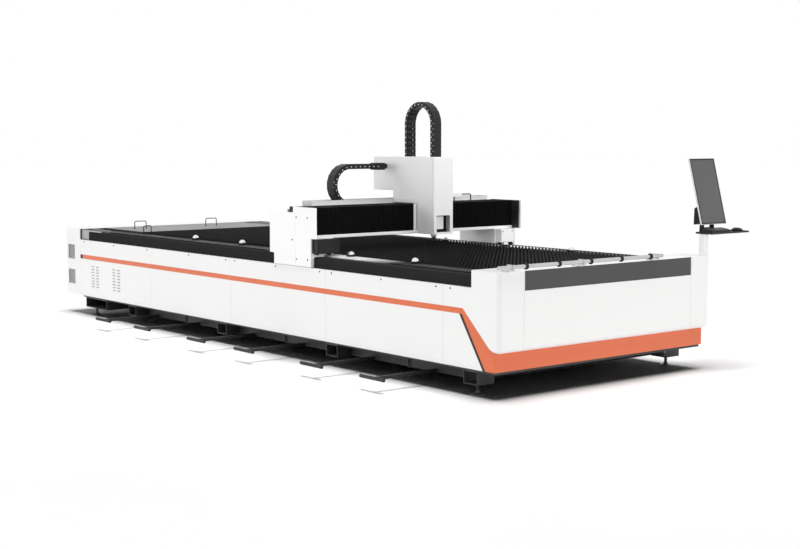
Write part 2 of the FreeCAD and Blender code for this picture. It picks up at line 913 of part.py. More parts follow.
def side_decks():
    """A folded sheet along each side: a foot on the frame, an upstand and a level deck."""
    deck = body_of("side_deck_near")
    sheet = "deck_sheet"
    outline = [
        ("-deck_outer", "frame_top"),
        ("-beam_inner", "frame_top"),
        ("-beam_inner", f"frame_top + {sheet}"),
        (f"-deck_outer + {sheet}", f"frame_top + {sheet}"),
        (f"-deck_outer + {sheet}", f"deck_top - {sheet}"),
        ("-deck_inner", f"deck_top - {sheet}"),
        ("-deck_inner", "deck_top"),
        ("-deck_outer", "deck_top"),
    ]
    pad(deck, "YZ_Plane", [outline], "rear_joint", "front_joint")
    return keep("side_decks", group("side_decks", pair(deck)))


def slat_ledges():
    """Angle bars inside the bed that carry the ends of the slats."""
    ledge = body_of("slat_ledge_near")
    outline = [
        ("-beam_inner", "frame_top - ledge_sheet"),
        ("-deck_inner + ledge_width", "frame_top - ledge_sheet"),
        ("-deck_inner + ledge_width", "ledge_top"),
        ("-deck_inner + ledge_width - ledge_sheet", "ledge_top"),
        ("-deck_inner + ledge_width - ledge_sheet", "frame_top"),
        ("-beam_inner", "frame_top"),
    ]
    pad(ledge, "YZ_Plane", [outline], "table_x", "front_joint")
    return keep("slat_ledges", group("slat_ledges", pair(ledge)))


def slats():
    """Toothed blades on edge across the table, that carry the sheet on their points."""
    count = int(size("slat_count"))
    teeth = int(size("slat_teeth"))
    reach = size("slat_reach")
    low = size("slat_low")
    crest = low + size("slat_height")
    root = crest - size("tooth_depth")
    pitch = 2 * reach / teeth
    points = [Vector(0, -reach, low), Vector(0, -reach, root)]
    for i in range(teeth):
        middle = -reach + pitch * (i + 0.5)
        points += [Vector(0, middle, crest), Vector(0, middle + pitch / 2, root)]
    points.append(Vector(0, reach, low))
    blade = Part.Face(Part.makePolygon(points + points[:1])).extrude(Vector(size("slat_sheet"), 0, 0))
    first = size("table_x")
    step = (size("front_joint") - first) / count
    row = [blade.translated(Vector(first + step * (i + 0.5), 0, 0)) for i in range(count)]
    return keep("slats", made("slats", Part.makeCompound(row)))


def ball_units():
    """Ball transfer units on the decks: a cup with a dished seat, and the ball that rolls in it."""
    radius = size("ball_radius")
    sides = int(size("round_sides"))
    cup_radius = size("cup_radius")
    cup_height = size("cup_height")
    centre = cup_height + size("ball_rise")
    tilts = [math.pi * (i - 1.5) / 4 for i in range(4)]

    def round_body(reach):
        return faceted([(reach * math.cos(tilt), centre + reach * math.sin(tilt)) for tilt in tilts], sides)

    ball = round_body(radius)
    seat = round_body(radius + size("run_clear"))
    cup = faceted([(cup_radius, 0), (cup_radius, cup_height)], sides).cut(seat)
    y = size("deck_inner") + size("ball_from_edge")
    spots = []
    for i in range(int(size("ball_count"))):
        x = size("band_x") - size("ball_first") - i * size("ball_pitch")
        spots += [Vector(x, side * y, size("deck_top")) for side in (-1, 1)]
    for name, shape in (("ball_cups", cup), ("transfer_balls", ball)):
        keep(name, made(name, Part.makeCompound([shape.translated(spot) for spot in spots])))


def loading_roller():
    """A long roller with soft rings along the top of the front end, held by three brackets."""
    x = "front_x + roller_reach"
    z = "front_top + roller_rise"
    start = "-half_width + roller_start"
    end = f"{start} + roller_length"
    keep("roller_shaft", rod("roller_shaft", "y", "roller_radius", (start, end), (x, z)))
    sides = int(size("ring_sides"))
    inner = (size("roller_radius") + size("fit_clear")) / math.cos(math.pi / sides)
    width = size("ring_width")
    ring = faceted([(size("ring_radius"), 0), (size("ring_radius"), width)], sides)
    ring = ring.cut(faceted([(inner, 0), (inner, width)], sides))
    lying = FreeCAD.Rotation(Vector(1, 0, 0), -90)
    first = -size("half_width") + size("roller_start") + size("ring_first") - width / 2
    rings = []
    for i in range(int(size("ring_count"))):
        spot = Vector(size("front_x") + size("roller_reach"), first + i * size("ring_pitch"),
                      size("front_top") + size("roller_rise"))
        rings.append(ring.transformed(FreeCAD.Placement(spot, lying).toMatrix()))
    keep("roller_rings", made("roller_rings", Part.makeCompound(rings)))
    brackets = []
    for i, place in enumerate(("bracket_first", "bracket_middle", "bracket_last")):
        ys = (f"{start} + {place} - bracket_width / 2", f"{start} + {place} + bracket_width / 2")
        foot = block(f"bracket_foot_{i}", ("front_x - bracket_foot", "front_x"), ys,
                     ("front_top", "front_top + bracket_sheet"))
        around = "roller_radius + bracket_wall"
        arm = block(f"bracket_arm_{i}", ("front_x - bracket_sheet", f"{x} + {around}"), ys,
                    ("front_top + bracket_sheet", f"{z} + {around}"))
        bore = rod(f"bracket_bore_{i}", "y", "roller_radius + fit_clear", ys, (x, z))
        brackets.append(cut(f"bracket_{i}", fuse(f"bracket_solid_{i}", [foot, arm]), bore))
    keep("roller_brackets", group("roller_brackets", brackets))


def u_handle(width, height, bar, bend):
    """A square bar bent twice: two legs and a level grip, in the YZ plane, feet at height 0."""
    half = width / 2
    outer = [(half, 0), (half, height - bend), (half - bend, height)]
    lean = bar * (math.sqrt(2) - 1)
    inner = [(half - bend - lean, height - bar), (half - bar, height - bend - lean), (half - bar, 0)]
    across = outer + [(-y, z) for y, z in reversed(outer)]
    back = [(-y, z) for y, z in reversed(inner)] + inner
    points = [Vector(0, y, z) for y, z in across + back]
    return Part.Face(Part.makePolygon(points + points[:1])).extrude(Vector(bar, 0, 0))


def rear_lid():
    """A shallow folded lid over the rear of the bed, with its lifting handles."""
    lid = body_of("rear_lid")
    ys = ("-deck_inner - lid_lap", "deck_inner + lid_lap")
    xs = ("rear_joint + lid_sheet", "table_x")
    pad(lid, "XY_Plane", [rectangle(xs, ys)], "deck_top", "deck_top + lid_height")
    inner_x = ("rear_joint + 2 * lid_sheet", "table_x - lid_sheet")
    inner_y = (f"{ys[0]} + lid_sheet", f"{ys[1]} - lid_sheet")
    pocket(lid, "XY_Plane", [rectangle(inner_x, inner_y)], "deck_top", "deck_top + lid_height - lid_sheet")
    keep("rear_lid", lid)
    bar = size("lid_handle_bar")
    bend = size("lid_handle_bend")
    top = size("deck_top") + size("lid_height")
    large = u_handle(size("lid_handle_width"), size("lid_handle_height"), bar, bend)
    small = u_handle(size("small_handle_width"), size("small_handle_height"), bar, bend)
    rear = size("rear_joint") + size("lid_handle_inset")
    half = size("lid_handle_pair") / 2
    small_x = size("table_x") - size("small_handle_inset")
    shift = size("lid_handle_shift")
    handles = [large.translated(Vector(rear, shift + side * half, top)) for side in (-1, 1)]
    handles.append(small.translated(Vector(small_x, size("small_handle_shift"), top)))
    keep("lid_handles", made("lid_handles", Part.makeCompound(handles)))
    plate = block("side_plate_near", ("rear_joint", "rear_joint + side_plate_length"),
                  ("-deck_outer - side_plate_sheet", "-deck_outer"), ("frame_top", "rear_top"))
    keep("side_plates", group("side_plates", pair(plate)))


# --- travel along the bed ---


def bed_rails():
    ends = ("rear_joint + rail_rear_gap", "front_joint - rail_front_gap")
    rail = block("bed_rail", ends, ("-rail_y - rail_width / 2", "-rail_y + rail_width / 2"),
                 ("frame_top", "rail_top"))
    keep("bed_rails", group("bed_rails", pair(rail)))
    rack = block("bed_rack", ends, ("-rack_y - rack_width / 2", "-rack_y + rack_width / 2"),
                 ("frame_top", "frame_top + rack_height"))
    keep("bed_racks", group("bed_racks", pair(rack)))


def pleated(low, high, folds, base, top, pleat):
    """A closed zigzag outline: folds along the first axis, up and down along the second."""
    step = (high - low) / folds
    points = [(low, base), (low, top - pleat)]
    for i in range(folds):
        points.append((low + step * (i + 0.5), top))
        points.append((low + step * (i + 1), top - pleat))
    points.append((high, base))
    return points


def bed_bellows():
    """Pleated hoods over the rails, in front of and behind each gantry leg."""
    wall = size("bellows_wall")
    half = size("bellows_width") / 2
    base = size("skirt_top") + size("run_clear")
    top = size("bellows_top")
    pleat = size("bellows_pleat")
    clear = size("run_clear")
    spans = {
        "front": (size("leg_front_x") + clear, size("front_joint") - clear, int(size("bellows_front_folds"))),
        "rear": (size("rear_joint") + size("bellows_start"), size("leg_rear_x") - clear,
                 int(size("bellows_rear_folds"))),
    }
    for end, (low, high, folds) in spans.items():
        points = [Vector(x, -half, z) for x, z in pleated(low, high, folds, base, top, pleat)]
        hood = Part.Face(Part.makePolygon(points + points[:1])).extrude(Vector(0, 2 * half, 0))
        inside = Part.makeBox(high - low, 2 * (half - wall), top - pleat - wall - base,
                              Vector(low, -half + wall, base))
        hood = hood.cut(inside)
        hoods = [hood.translated(Vector(0, side * size("bellows_mid"), 0)) for side in (-1, 1)]
        keep(f"bed_bellows_{end}", made(f"bed_bellows_{end}", Part.makeCompound(hoods)))


# --- the gantry ---


def gantry_legs():
    """A stepped welded leg at each end of the beam, with a runner block hugging the rail."""
    leg = body_of("gantry_leg_near")
    outline = [
        ("-leg_outer", "leg_low"),
        ("-leg_deck_side", "leg_low"),
        ("-leg_deck_side", "leg_shelf"),
        ("-leg_inner", "leg_shelf"),
        ("-leg_inner", "flange_low"),
        ("-leg_outer", "flange_low"),
    ]
    pad(leg, "YZ_Plane", [outline], "leg_rear_x", "leg_front_x")
    hollow = rectangle(
        ("-leg_outer + leg_wall", "-leg_deck_side - leg_wall"),
        ("leg_low + leg_floor", "flange_low - leg_wall"),
    )
    pocket(leg, "YZ_Plane", [hollow], "leg_rear_x", "leg_front_x - leg_wall")
    for middle in ("leg_front_x - block_length", "leg_rear_x + block_length"):
        xs = (f"{middle} - block_length / 2", f"{middle} + block_length / 2")
        groove = ("-rail_y - rail_width / 2 - run_clear", "-rail_y + rail_width / 2 + run_clear")
        ys = (f"{groove[0]} - block_wall", f"{groove[1]} + block_wall")
        pad(leg, "XY_Plane", [rectangle(xs, ys)], "leg_low - block_height", "leg_low")
        pocket(leg, "XY_Plane", [rectangle(xs, groove)], "leg_low - block_height", "rail_top + run_clear")
    keep_pair("gantry_leg", leg)


def end_covers():
    """The white sheet covers outside the two legs."""
    cover = body_of("end_cover_near")
    front = "gantry_x + cover_front"
    rear = "gantry_x - cover_rear"
    outline = [
        (f"{rear} + cover_heel", "leg_low"),
        (f"{front} - cover_toe", "leg_low"),
        (f"{front} - cover_toe", "leg_low + cover_toe_top"),
        (front, "leg_low + cover_toe_top"),
        (front, "leg_low + cover_front_top"),
        ("gantry_x - cover_mid", "leg_low + cover_front_top"),
        ("gantry_x - cover_mid", "leg_low + cover_rear_top"),
        (rear, "leg_low + cover_rear_top"),
        (rear, "leg_low + cover_heel_top"),
        (f"{rear} + cover_heel", "leg_low + cover_heel_top"),
    ]
    pad(cover, "XZ_Plane", [outline], "-leg_outer - cover_sheet", "-leg_outer")
    keep_pair("end_cover", cover)


def gantry_beam():
    """A welded box beam with a wide foot flange, that stands on the legs."""
    beam = body_of("gantry_beam")
    zs = ("beam_low", "beam_top")
    ys = ("-leg_outer", "leg_outer")
    flange = rectangle(("beam_back", "flange_face - run_clear"), ("flange_low", "beam_low"))
    pad(beam, "XZ_Plane", [flange], *ys)
    outer = rectangle(("beam_back", "beam_face"), zs)
    inner_x = ("beam_back + beam_wall", "beam_face - beam_wall")
    bore = rectangle(inner_x, ("beam_low + beam_wall", "beam_top - beam_wall"))
    pad(beam, "XZ_Plane", [outer, bore], *ys)
    return keep("gantry_beam", beam)


def beam_rails():
    xs = ("beam_face", "beam_face + y_rail_height")
    ys = ("-leg_outer + rail_end_gap", "leg_outer - rail_end_gap")
    lower = ("beam_low + y_rail_inset", "beam_low + y_rail_inset + y_rail_width")
    upper = ("beam_top - y_rail_inset - y_rail_width", "beam_top - y_rail_inset")
    rails = [block("beam_rail_low", xs, ys, lower), block("beam_rail_high", xs, ys, upper)]
    keep("beam_rails", group("beam_rails", rails))
    middle = "(beam_low + beam_top) / 2"
    rack = block("beam_rack", ("beam_face", "beam_face + y_rail_height"), ys,
                 (f"{middle} - y_rack_width / 2", f"{middle} + y_rack_width / 2"))
    keep("beam_rack", rack)


def beam_bellows():
    """Pleated curtains along the beam's face, from each end cover to the carriage."""
    back = size("beam_face") + size("y_rail_height") + size("y_bellows_back")
    front = size("beam_face") + size("y_bellows_reach") + size("y_bellows_pleat")
    wall = size("y_bellows_wall")
    pleat = size("y_bellows_pleat")
    low = size("beam_low") + size("run_clear")
    high = size("beam_top") + size("y_bellows_proud")
    gap = size("y_bellows_clear")
    spans = {
        "near": (-size("leg_outer") + size("run_clear"), size("head_left") - gap),
        "far": (size("head_right") + gap, size("leg_outer") - size("run_clear")),
    }
    for side, (start, end) in spans.items():
        outline = pleated(start, end, int(size("y_bellows_folds")), back, front, pleat)
        points = [Vector(x, y, low) for y, x in outline]
        curtain = Part.Face(Part.makePolygon(points + points[:1])).extrude(Vector(0, 0, high - low))
        inside = Part.makeBox(front - pleat - wall - back, end - start, high - low - 2 * wall,
                              Vector(back, start, low + wall))
        curtain = curtain.cut(inside)
        keep(f"beam_bellows_{side}", made(f"beam_bellows_{side}", curtain))


def cable_tray():
    """A folded trough behind the beam, that the flat cable chain lies in."""
    tray = body_of("cable_tray")
    back = "beam_back - tray_width"
    top = "tray_low + tray_height"
    outline = [
        (back, "tray_low"),
        ("beam_back", "tray_low"),
        ("beam_back", top),
        ("beam_back - tray_sheet", top),
        ("beam_back - tray_sheet", "tray_low + tray_sheet"),
        (f"{back} + tray_sheet", "tray_low + tray_sheet"),
        (f"{back} + tray_sheet", top),
        (back, top),
    ]
    pad(tray, "XZ_Plane", [outline], "-tray_length / 2", "tray_length / 2")
    return keep("cable_tray", tray)


def drive_motors():
    """A boxed gear motor in front of each leg's inner shelf."""
    low = "flange_low - motor_height - motor_drop"
    ys = ("-leg_inner - motor_width - motor_shift", "-leg_inner - motor_shift")
    flange = block("motor_mount", ("leg_front_x", "leg_front_x + motor_flange"), ys,
                   (low, f"{low} + motor_height"))
    case = block("motor_case", ("leg_front_x + motor_flange", "leg_front_x + motor_reach"),
                 (f"{ys[0]} + motor_step", f"{ys[1]} - motor_step"),
                 (f"{low} + motor_step", f"{low} + motor_height - motor_step"))
    near = fuse("drive_motor", [flange, case])
    keep("drive_motors", group("drive_motors", pair(near)))


def bumpers():
    """A rubber cone and a rubber ball on the front of each leg, over the bellows."""
    radius = size("bumper_radius")
    length = size("bumper_length")
    sides = int(size("round_sides"))
    neck = size("bumper_neck")
    land = size("bumper_land")
    cone = faceted([(radius, 0), (size("bumper_tip"), length)], sides)
    profile = [(neck, 0), (neck, land), (radius, 2 * land), (radius, length - land), (neck, length)]
    knob = faceted(profile, sides)
    turn = FreeCAD.Rotation(Vector(0, 1, 0), 90)
    z = size("bellows_top") + radius + size("leg_gap")
    x = size("leg_front_x")
    outer = size("leg_outer") - size("bumper_inset")
    pieces = []
    for side in (-1, 1):
        for shape, y in ((cone, outer), (knob, outer - size("bumper_pitch"))):
            turned_shape = shape.copy()
            turned_shape.Placement = FreeCAD.Placement(Vector(x, side * y, z), turn)
            pieces.append(turned_shape)
    return keep("bumpers", made("bumpers", Part.makeCompound(pieces)))


# --- the carriage and the cutting head ---


def carriage():
    xs = ("beam_face + y_rail_height + run_clear", "column_back")
    ys = ("head_left + plate_gap", "head_right - plate_gap")
    plate = block("carriage_plate", xs, ys, ("beam_low + plate_inset", "beam_top - plate_inset"))
    keep("carriage_plate", plate)
    cover = body_of("head_cover")
    outline = [
        ("step_x - head_overhang", "head_top_z"),
        ("step_x - head_overhang", "overhang_low"),
        ("step_x", "overhang_low"),
        ("step_x", "step_low"),
        ("column_back", "step_low"),
        ("column_back", "flange_low"),
        ("head_front", "flange_low"),
        ("head_front", "head_top_z"),
    ]
    pad(cover, "XZ_Plane", [outline], "head_left", "head_right")
    room = rectangle(("head_left + head_wall", "head_right - head_wall"), ("flange_low", "cavity_top"))
    pocket(cover, "YZ_Plane", [room], "column_back + head_wall", "head_front - head_wall")
    sill = "flange_low + window_sill"
    window = rectangle(
        ("head_left + (head_width - window_width) / 2", "head_right - (head_width - window_width) / 2"),
        (sill, f"{sill} + window_rise"),
    )
    pocket(cover, "YZ_Plane", [window], "head_front - head_wall", "head_front")
    left = "column_back - head_slot_inset"
    low = "step_low + head_slot_rise"
    slot = rectangle((left, f"{left} + head_slot_length"), (low, f"{low} + head_slot_height"))
    cuts = (("head_left", "head_left + head_slot_cut"), ("head_right - head_slot_cut", "head_right"))
    for low_y, high_y in cuts:
        opening = pocket(cover, "XZ_Plane", [slot], low_y, high_y)
        repeat(cover, [opening], "Z", "head_slot_pitch * (head_slots - 1)", "head_slots")
    keep("head_cover", cover)
    rail = block("z_rail", ("column_back + head_wall", "column_back + head_wall + z_rail_depth"),
                 ("head_offset - z_rail_width / 2", "head_offset + z_rail_width / 2"),
                 ("flange_low + z_rail_gap", "cavity_top - z_rail_gap"))
    keep("z_rail", rail)


def cutting_head():
    """The slide on the vertical rail, the optics block, the stepped barrel and the nozzle."""
    xs = ("slide_back", "slide_back + z_slide_depth")
    ys = ("head_offset - optic_width / 2", "head_offset + optic_width / 2")
    keep("z_slide", block("z_slide", xs, ys, ("slide_low", "slide_low + z_slide_height")))
    face = "slide_back + z_slide_depth"
    optic = body_of("optics_block")
    plan = rectangle((face, f"{face} + optic_depth"), ys)
    pad(optic, "XY_Plane", [plan], "slide_low", "slide_low + optic_height")
    front = size("slide_back") + size("z_slide_depth") + size("optic_depth")
    soften(optic, "optic_corner", lambda a, b: upright(a, b) and same(a.x, front))
    keep("optics_block", optic)
    axis = Vector(front - size("optic_depth") / 2, size("head_offset"), size("slide_low"))
    collar = size("collar_radius")
    barrel = size("barrel_radius")
    step = -size("collar_length")
    low = step - size("barrel_length")
    sides = int(size("nose_sides"))
    lens = faceted([(barrel, low), (barrel, step)], sides).fuse(faceted([(collar, step), (collar, 0)], sides))
    keep("lens_barrel", made("lens_barrel", lens.translated(axis)))
    cone = size("cone_radius")
    land = low - size("cone_land")
    neck = land - size("cone_length")
    tip = neck - size("tip_length")
    outline = [(size("tip_face"), tip), (size("tip_radius"), neck), (cone, land), (cone, low)]
    nose = faceted(outline, sides)
    keep("nozzle", made("nozzle", nose.translated(axis)))


# --- cable chains ---


def chain_link(pitch, height, width, wall):
    """One link, centred: two pointed side plates and two covers between them, along +X."""
    half = pitch / 2 - size("link_gap") / 2
    slope = size("link_slope")
    rise = height / 2
    shoulder = half - slope
    upper = [(-half, 0), (-shoulder, rise), (shoulder, rise)]
    points = [Vector(x, -width / 2, z) for x, z in upper] + [Vector(-x, -width / 2, -z) for x, z in upper]
    full = Part.Face(Part.makePolygon(points + points[:1])).extrude(Vector(0, width, 0))
    corner = Vector(-pitch / 2, -width / 2 + wall, -(height - wall) / 2)
    room = Part.makeBox(pitch, width - 2 * wall, height - wall, corner)
    return full.cut(room)


def chain_places(count, first_run, radius, second_run):
    """Centres and headings of the links: along +X, round a half turn, and back along -X."""
    bend = math.pi * radius
    pitch = (first_run + bend + second_run) / count
    spots = []
    for i in range(count):
        along = pitch * (i + 0.5)
        if along < first_run:
            spots.append((along, 0, 0))
        elif along < first_run + bend:
            angle = (along - first_run) / radius
            spots.append((first_run + radius * math.sin(angle), radius * (1 - math.cos(angle)), angle))
        else:
            spots.append((first_run + bend + first_run - along, 2 * radius, math.pi))
    return pitch, spots


def chain(name, letter, runs, frame):
    """A cable chain laid from a start frame; its own sizes share the letter's prefix."""
    radius = size(f"{letter}_chain_radius")
    pitch, spots = chain_places(int(size(f"{letter}_chain_links")), runs[0], radius, runs[1])
    link = chain_link(pitch, size(f"{letter}_chain_height"), size(f"{letter}_chain_width"), size("link_wall"))
    links = []
    for along, up, angle in spots:
        turn = FreeCAD.Rotation(Vector(0, 1, 0), -math.degrees(angle))
        copy = link.copy()
        copy.Placement = frame.multiply(FreeCAD.Placement(Vector(along, 0, up), turn))
        links.append(copy)
    return keep(name, made(name, Part.makeCompound(links)))


def cable_chains():
    """A flat chain from the tray to the carriage, and an upright one over the head."""
    low = size("tray_low") + size("tray_sheet") + size("y_chain_height") / 2 + size("y_chain_lift")
    runs = (size("y_chain_base_run"), size("y_chain_top_run"))
    start = size("head_left") - size("run_clear") - runs[1] + runs[0]
    x = size("beam_back") - size("tray_width") / 2
    along = FreeCAD.Rotation(Vector(0, 0, 1), -90)
    chain("flat_chain", "y", runs, FreeCAD.Placement(Vector(x, start, low), along))
    rise = size("z_chain_rise")
    foot = size("head_top_z") + size("run_clear")
    front = size("column_back") - size("z_chain_inset") + size("z_chain_radius")
    upward = FreeCAD.Rotation(Vector(0, 1, 0), -90)
    start = Vector(front, size("head_offset"), foot)
    chain("upright_chain", "z", (rise, rise), FreeCAD.Placement(start, upward))


# --- the operator's console ---


def console():
    """A square post at the front corner, a shallow tray, a keyboard and a mouse."""
    half = "post_width / 2"
    xs = (f"post_x - {half}", f"post_x + {half}")
    ys = (f"post_y - {half}", f"post_y + {half}")
    post = body_of("console_post")
    inner_x = (f"{xs[0]} + post_wall", f"{xs[1]} - post_wall")
    inner_y = (f"{ys[0]} + post_wall", f"{ys[1]} - post_wall")
    pad(post, "XY_Plane", [rectangle(xs, ys), rectangle(inner_x, inner_y)], "front_top", "tray_top")
    keep("console_post", post)
    tray = body_of("console_tray")
    plan = rectangle(("console_back", "console_front"), ("console_near", "console_far"))
    pad(tray, "XY_Plane", [plan], "tray_top", "tray_top + console_lip")
    inside = rectangle(("console_back + console_sheet", "console_front - console_sheet"),
                       ("console_near + console_sheet", "console_far - console_sheet"))
    pocket(tray, "XY_Plane", [inside], "console_floor", "tray_top + console_lip")
    keep("console_tray", tray)
    keyboard = body_of("keyboard")
    front = "console_front - console_sheet - keyboard_gap"
    left = "console_near + console_sheet + keyboard_inset"
    wedge = [
        (f"{front} - keyboard_depth", "console_floor"),
        (front, "console_floor"),
        (front, "console_floor + keyboard_height"),
        (f"{front} - keyboard_depth", "console_floor + keyboard_rear_height"),
    ]
    pad(keyboard, "XZ_Plane", [wedge], left, f"{left} + keyboard_width")
    keep("keyboard", keyboard)
    height = size("mouse_height")
    half = size("mouse_width") / 2
    outline = [
        (half, 0),
        (half, size("mouse_shoulder")),
        (half - size("mouse_slope"), size("mouse_brow")),
        (size("mouse_crown"), height),
    ]
    dome = faceted(outline, int(size("mouse_sides")), size("mouse_length") / size("mouse_width"))
    spot = Vector(size("post_x"), size("console_far") - size("mouse_inset"), size("console_floor"))
    keep("mouse", made("mouse", dome.translated(spot)))


def monitor():
    """A portrait screen on a fork at the back of the tray; it tips about the fork's pin."""
    ears = []
    for sign, label in (("-", "left"), ("+", "right")):
        at = f"hinge_y {sign} hinge_width / 2"
        body = body_of(f"ear_{label}")
        fork = [
            ("hinge_x - ear_rear", "console_floor"),
            ("hinge_x + ear_front", "console_floor"),
            ("hinge_x + ear_head", "hinge_z + ear_head"),
            ("hinge_x - ear_head", "hinge_z + ear_head"),
        ]
        pad(body, "XZ_Plane", [fork], f"{at} - hinge_ear / 2", f"{at} + hinge_ear / 2")
        ears.append(body)
    pin = rod("hinge_pin", "y", "hinge_radius", ("hinge_y - hinge_width / 2", "hinge_y + hinge_width / 2"),
              ("hinge_x", "hinge_z"))
    keep("monitor_fork", fuse("monitor_fork", ears + [pin]))
    width = size("monitor_width")
    tall = size("monitor_height")
    thick = size("monitor_thick")
    low = -size("monitor_drop")
    reach = size("knuckle_reach")
    case = Part.makeBox(thick, width, tall, Vector(reach, -width / 2, low))
    lengthways = [edge for edge in case.Edges if not same(edge.Vertexes[0].X, edge.Vertexes[1].X)]
    case = case.makeFillet(size("monitor_corner"), lengthways)
    bezel = size("monitor_bezel")
    sheet = size("screen_sheet")
    glass = Part.makeBox(sheet, width - 2 * bezel, tall - 2 * bezel,
                         Vector(reach + thick - sheet, -width / 2 + bezel, low + bezel))
    along = Vector(0, 1, 0)
    bore_radius = size("hinge_radius") + size("fit_clear")
    knuckle_radius = size("hinge_radius") + size("knuckle_wall")
    knuckle_width = size("hinge_width") - size("hinge_ear") - 2 * size("run_clear")
    start = Vector(0, -knuckle_width / 2, 0)
    knuckle = Part.makeCylinder(knuckle_radius, knuckle_width, start, along)
    arm = Part.makeBox(reach, knuckle_width, 2 * knuckle_radius, start - Vector(0, 0, knuckle_radius))
    bore = Part.makeCylinder(bore_radius, knuckle_width, start, along)
    case = case.cut(glass).fuse(knuckle.fuse(arm)).cut(bore).removeSplitter()
    pin_place = Vector(size("hinge_x"), size("hinge_y"), size("hinge_z"))
    lean = FreeCAD.Placement(pin_place, FreeCAD.Rotation(along, -size("monitor_tilt")))
    for name, shape in (("monitor_case", case), ("monitor_screen", glass)):
        piece = made(name, shape)
        piece.Placement = lean
        keep(name, piece)


bed_frame()
side_skirts()
side_stripes()
front_housing()
rear_housing()
vent_grilles()
levelling_feet()
drawer_runners()
for number in range(1, 2 * (int(size("tube_count")) - 1) + 1):
    slag_drawer(number)
side_decks()
slat_ledges()
slats()
ball_units()
loading_roller()
rear_lid()
bed_rails()
bed_bellows()
gantry_legs()
end_covers()
gantry_beam()
beam_rails()
beam_bellows()
cable_tray()
drive_motors()
bumpers()
carriage()
cutting_head()
cable_chains()
console()
monitor()

doc.recompute()
for thing in doc.Objects:
    if "Invalid" in thing.State or "Error" in thing.State:
        raise RuntimeError(f"{thing.Label} failed: {thing.State}")
os.makedirs("parts", exist_ok=True)
for name, piece in NODES.items():
    shape = piece.Shape
    if shape.isNull() or not shape.isValid():
        raise RuntimeError(f"{name} has no sound shape")
    shape.exportStep(f"parts/{name}.step")
print(len(NODES), "nodes written")
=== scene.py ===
import bpy
import json
import math
from mathutils import Matrix, Vector

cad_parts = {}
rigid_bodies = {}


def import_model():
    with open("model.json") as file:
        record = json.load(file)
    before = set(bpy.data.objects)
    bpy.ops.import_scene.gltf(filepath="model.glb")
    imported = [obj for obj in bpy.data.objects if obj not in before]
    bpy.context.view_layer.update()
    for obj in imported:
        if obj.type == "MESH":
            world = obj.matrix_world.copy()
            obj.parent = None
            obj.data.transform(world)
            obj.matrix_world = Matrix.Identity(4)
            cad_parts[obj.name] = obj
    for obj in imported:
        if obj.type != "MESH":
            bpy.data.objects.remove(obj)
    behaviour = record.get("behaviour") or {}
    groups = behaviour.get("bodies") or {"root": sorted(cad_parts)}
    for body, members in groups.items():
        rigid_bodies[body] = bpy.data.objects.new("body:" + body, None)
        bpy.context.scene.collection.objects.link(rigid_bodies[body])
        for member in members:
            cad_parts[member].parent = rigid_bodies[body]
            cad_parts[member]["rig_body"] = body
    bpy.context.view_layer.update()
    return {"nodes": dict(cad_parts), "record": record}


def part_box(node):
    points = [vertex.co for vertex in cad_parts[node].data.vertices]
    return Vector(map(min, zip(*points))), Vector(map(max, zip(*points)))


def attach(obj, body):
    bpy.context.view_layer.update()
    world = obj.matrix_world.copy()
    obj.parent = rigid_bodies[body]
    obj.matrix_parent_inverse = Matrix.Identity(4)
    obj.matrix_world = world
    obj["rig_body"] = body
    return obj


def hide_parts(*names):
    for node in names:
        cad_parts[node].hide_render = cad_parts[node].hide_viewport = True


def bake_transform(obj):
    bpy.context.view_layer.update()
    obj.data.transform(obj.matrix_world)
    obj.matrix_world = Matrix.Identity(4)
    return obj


# An open flat-bed laser cutting machine: +X is the front end, -Y the side with the drawer handles, Z is up.
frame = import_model()
nodes = frame["nodes"]
slotOf = {row["node"]: row["material_slot"] for row in frame["record"]["subparts"]}
print("frame loaded:", len(nodes), "nodes")


# ways of working that every piece shares

def dropSelection():
    if bpy.context.mode != "OBJECT":
        bpy.ops.object.mode_set(mode="OBJECT")
    bpy.ops.object.select_all(action="DESELECT")


def makeActive(piece):
    dropSelection()
    piece.select_set(True)
    bpy.context.view_layer.objects.active = piece


def settle(name):  # names a new primitive and takes its place into its mesh
    piece = bpy.context.object
    piece.name = piece.data.name = name
    bpy.ops.object.transform_apply(location=True, rotation=True, scale=True)
    return piece


def addBlock(name, low, high):
    dropSelection()
    middle = [(a + b) / 2 for a, b in zip(low, high)]
    bpy.ops.mesh.primitive_cube_add(size=1, location=middle, scale=[b - a for a, b in zip(low, high)])
    return settle(name)


def addDrum(name, middle, radius, length, axis="Z", sides=32):
    dropSelection()
    turn = {"X": (0, math.pi / 2, 0), "Y": (math.pi / 2, 0, 0), "Z": (0, 0, 0)}[axis]
    bpy.ops.mesh.primitive_cylinder_add(vertices=sides, radius=radius, depth=length, location=middle, rotation=turn)
    return settle(name)


def addDisc(name, middle, radius, sides):
    dropSelection()
    bpy.ops.mesh.primitive_circle_add(vertices=sides, radius=radius, fill_type="NGON", location=middle)
    return settle(name)


def addBall(name, middle, radius, detail=3):
    dropSelection()
    bpy.ops.mesh.primitive_ico_sphere_add(subdivisions=detail, radius=radius, location=middle)
    return settle(name)


def addGrid(name, cells, low, high):  # a flat grid in XY
    dropSelection()
    middle = [(a + b) / 2 for a, b in zip(low, high)]
    bpy.ops.mesh.primitive_grid_add(x_subdivisions=cells[0], y_subdivisions=cells[1], size=1,
                                    location=(*middle, 0))
    bpy.ops.transform.resize(value=(high[0] - low[0], high[1] - low[1], 1))
    return settle(name)


def startPicking(piece):
    makeActive(piece)
    for parts in (piece.data.vertices, piece.data.edges, piece.data.polygons):
        parts.foreach_set("select", [False] * len(parts))


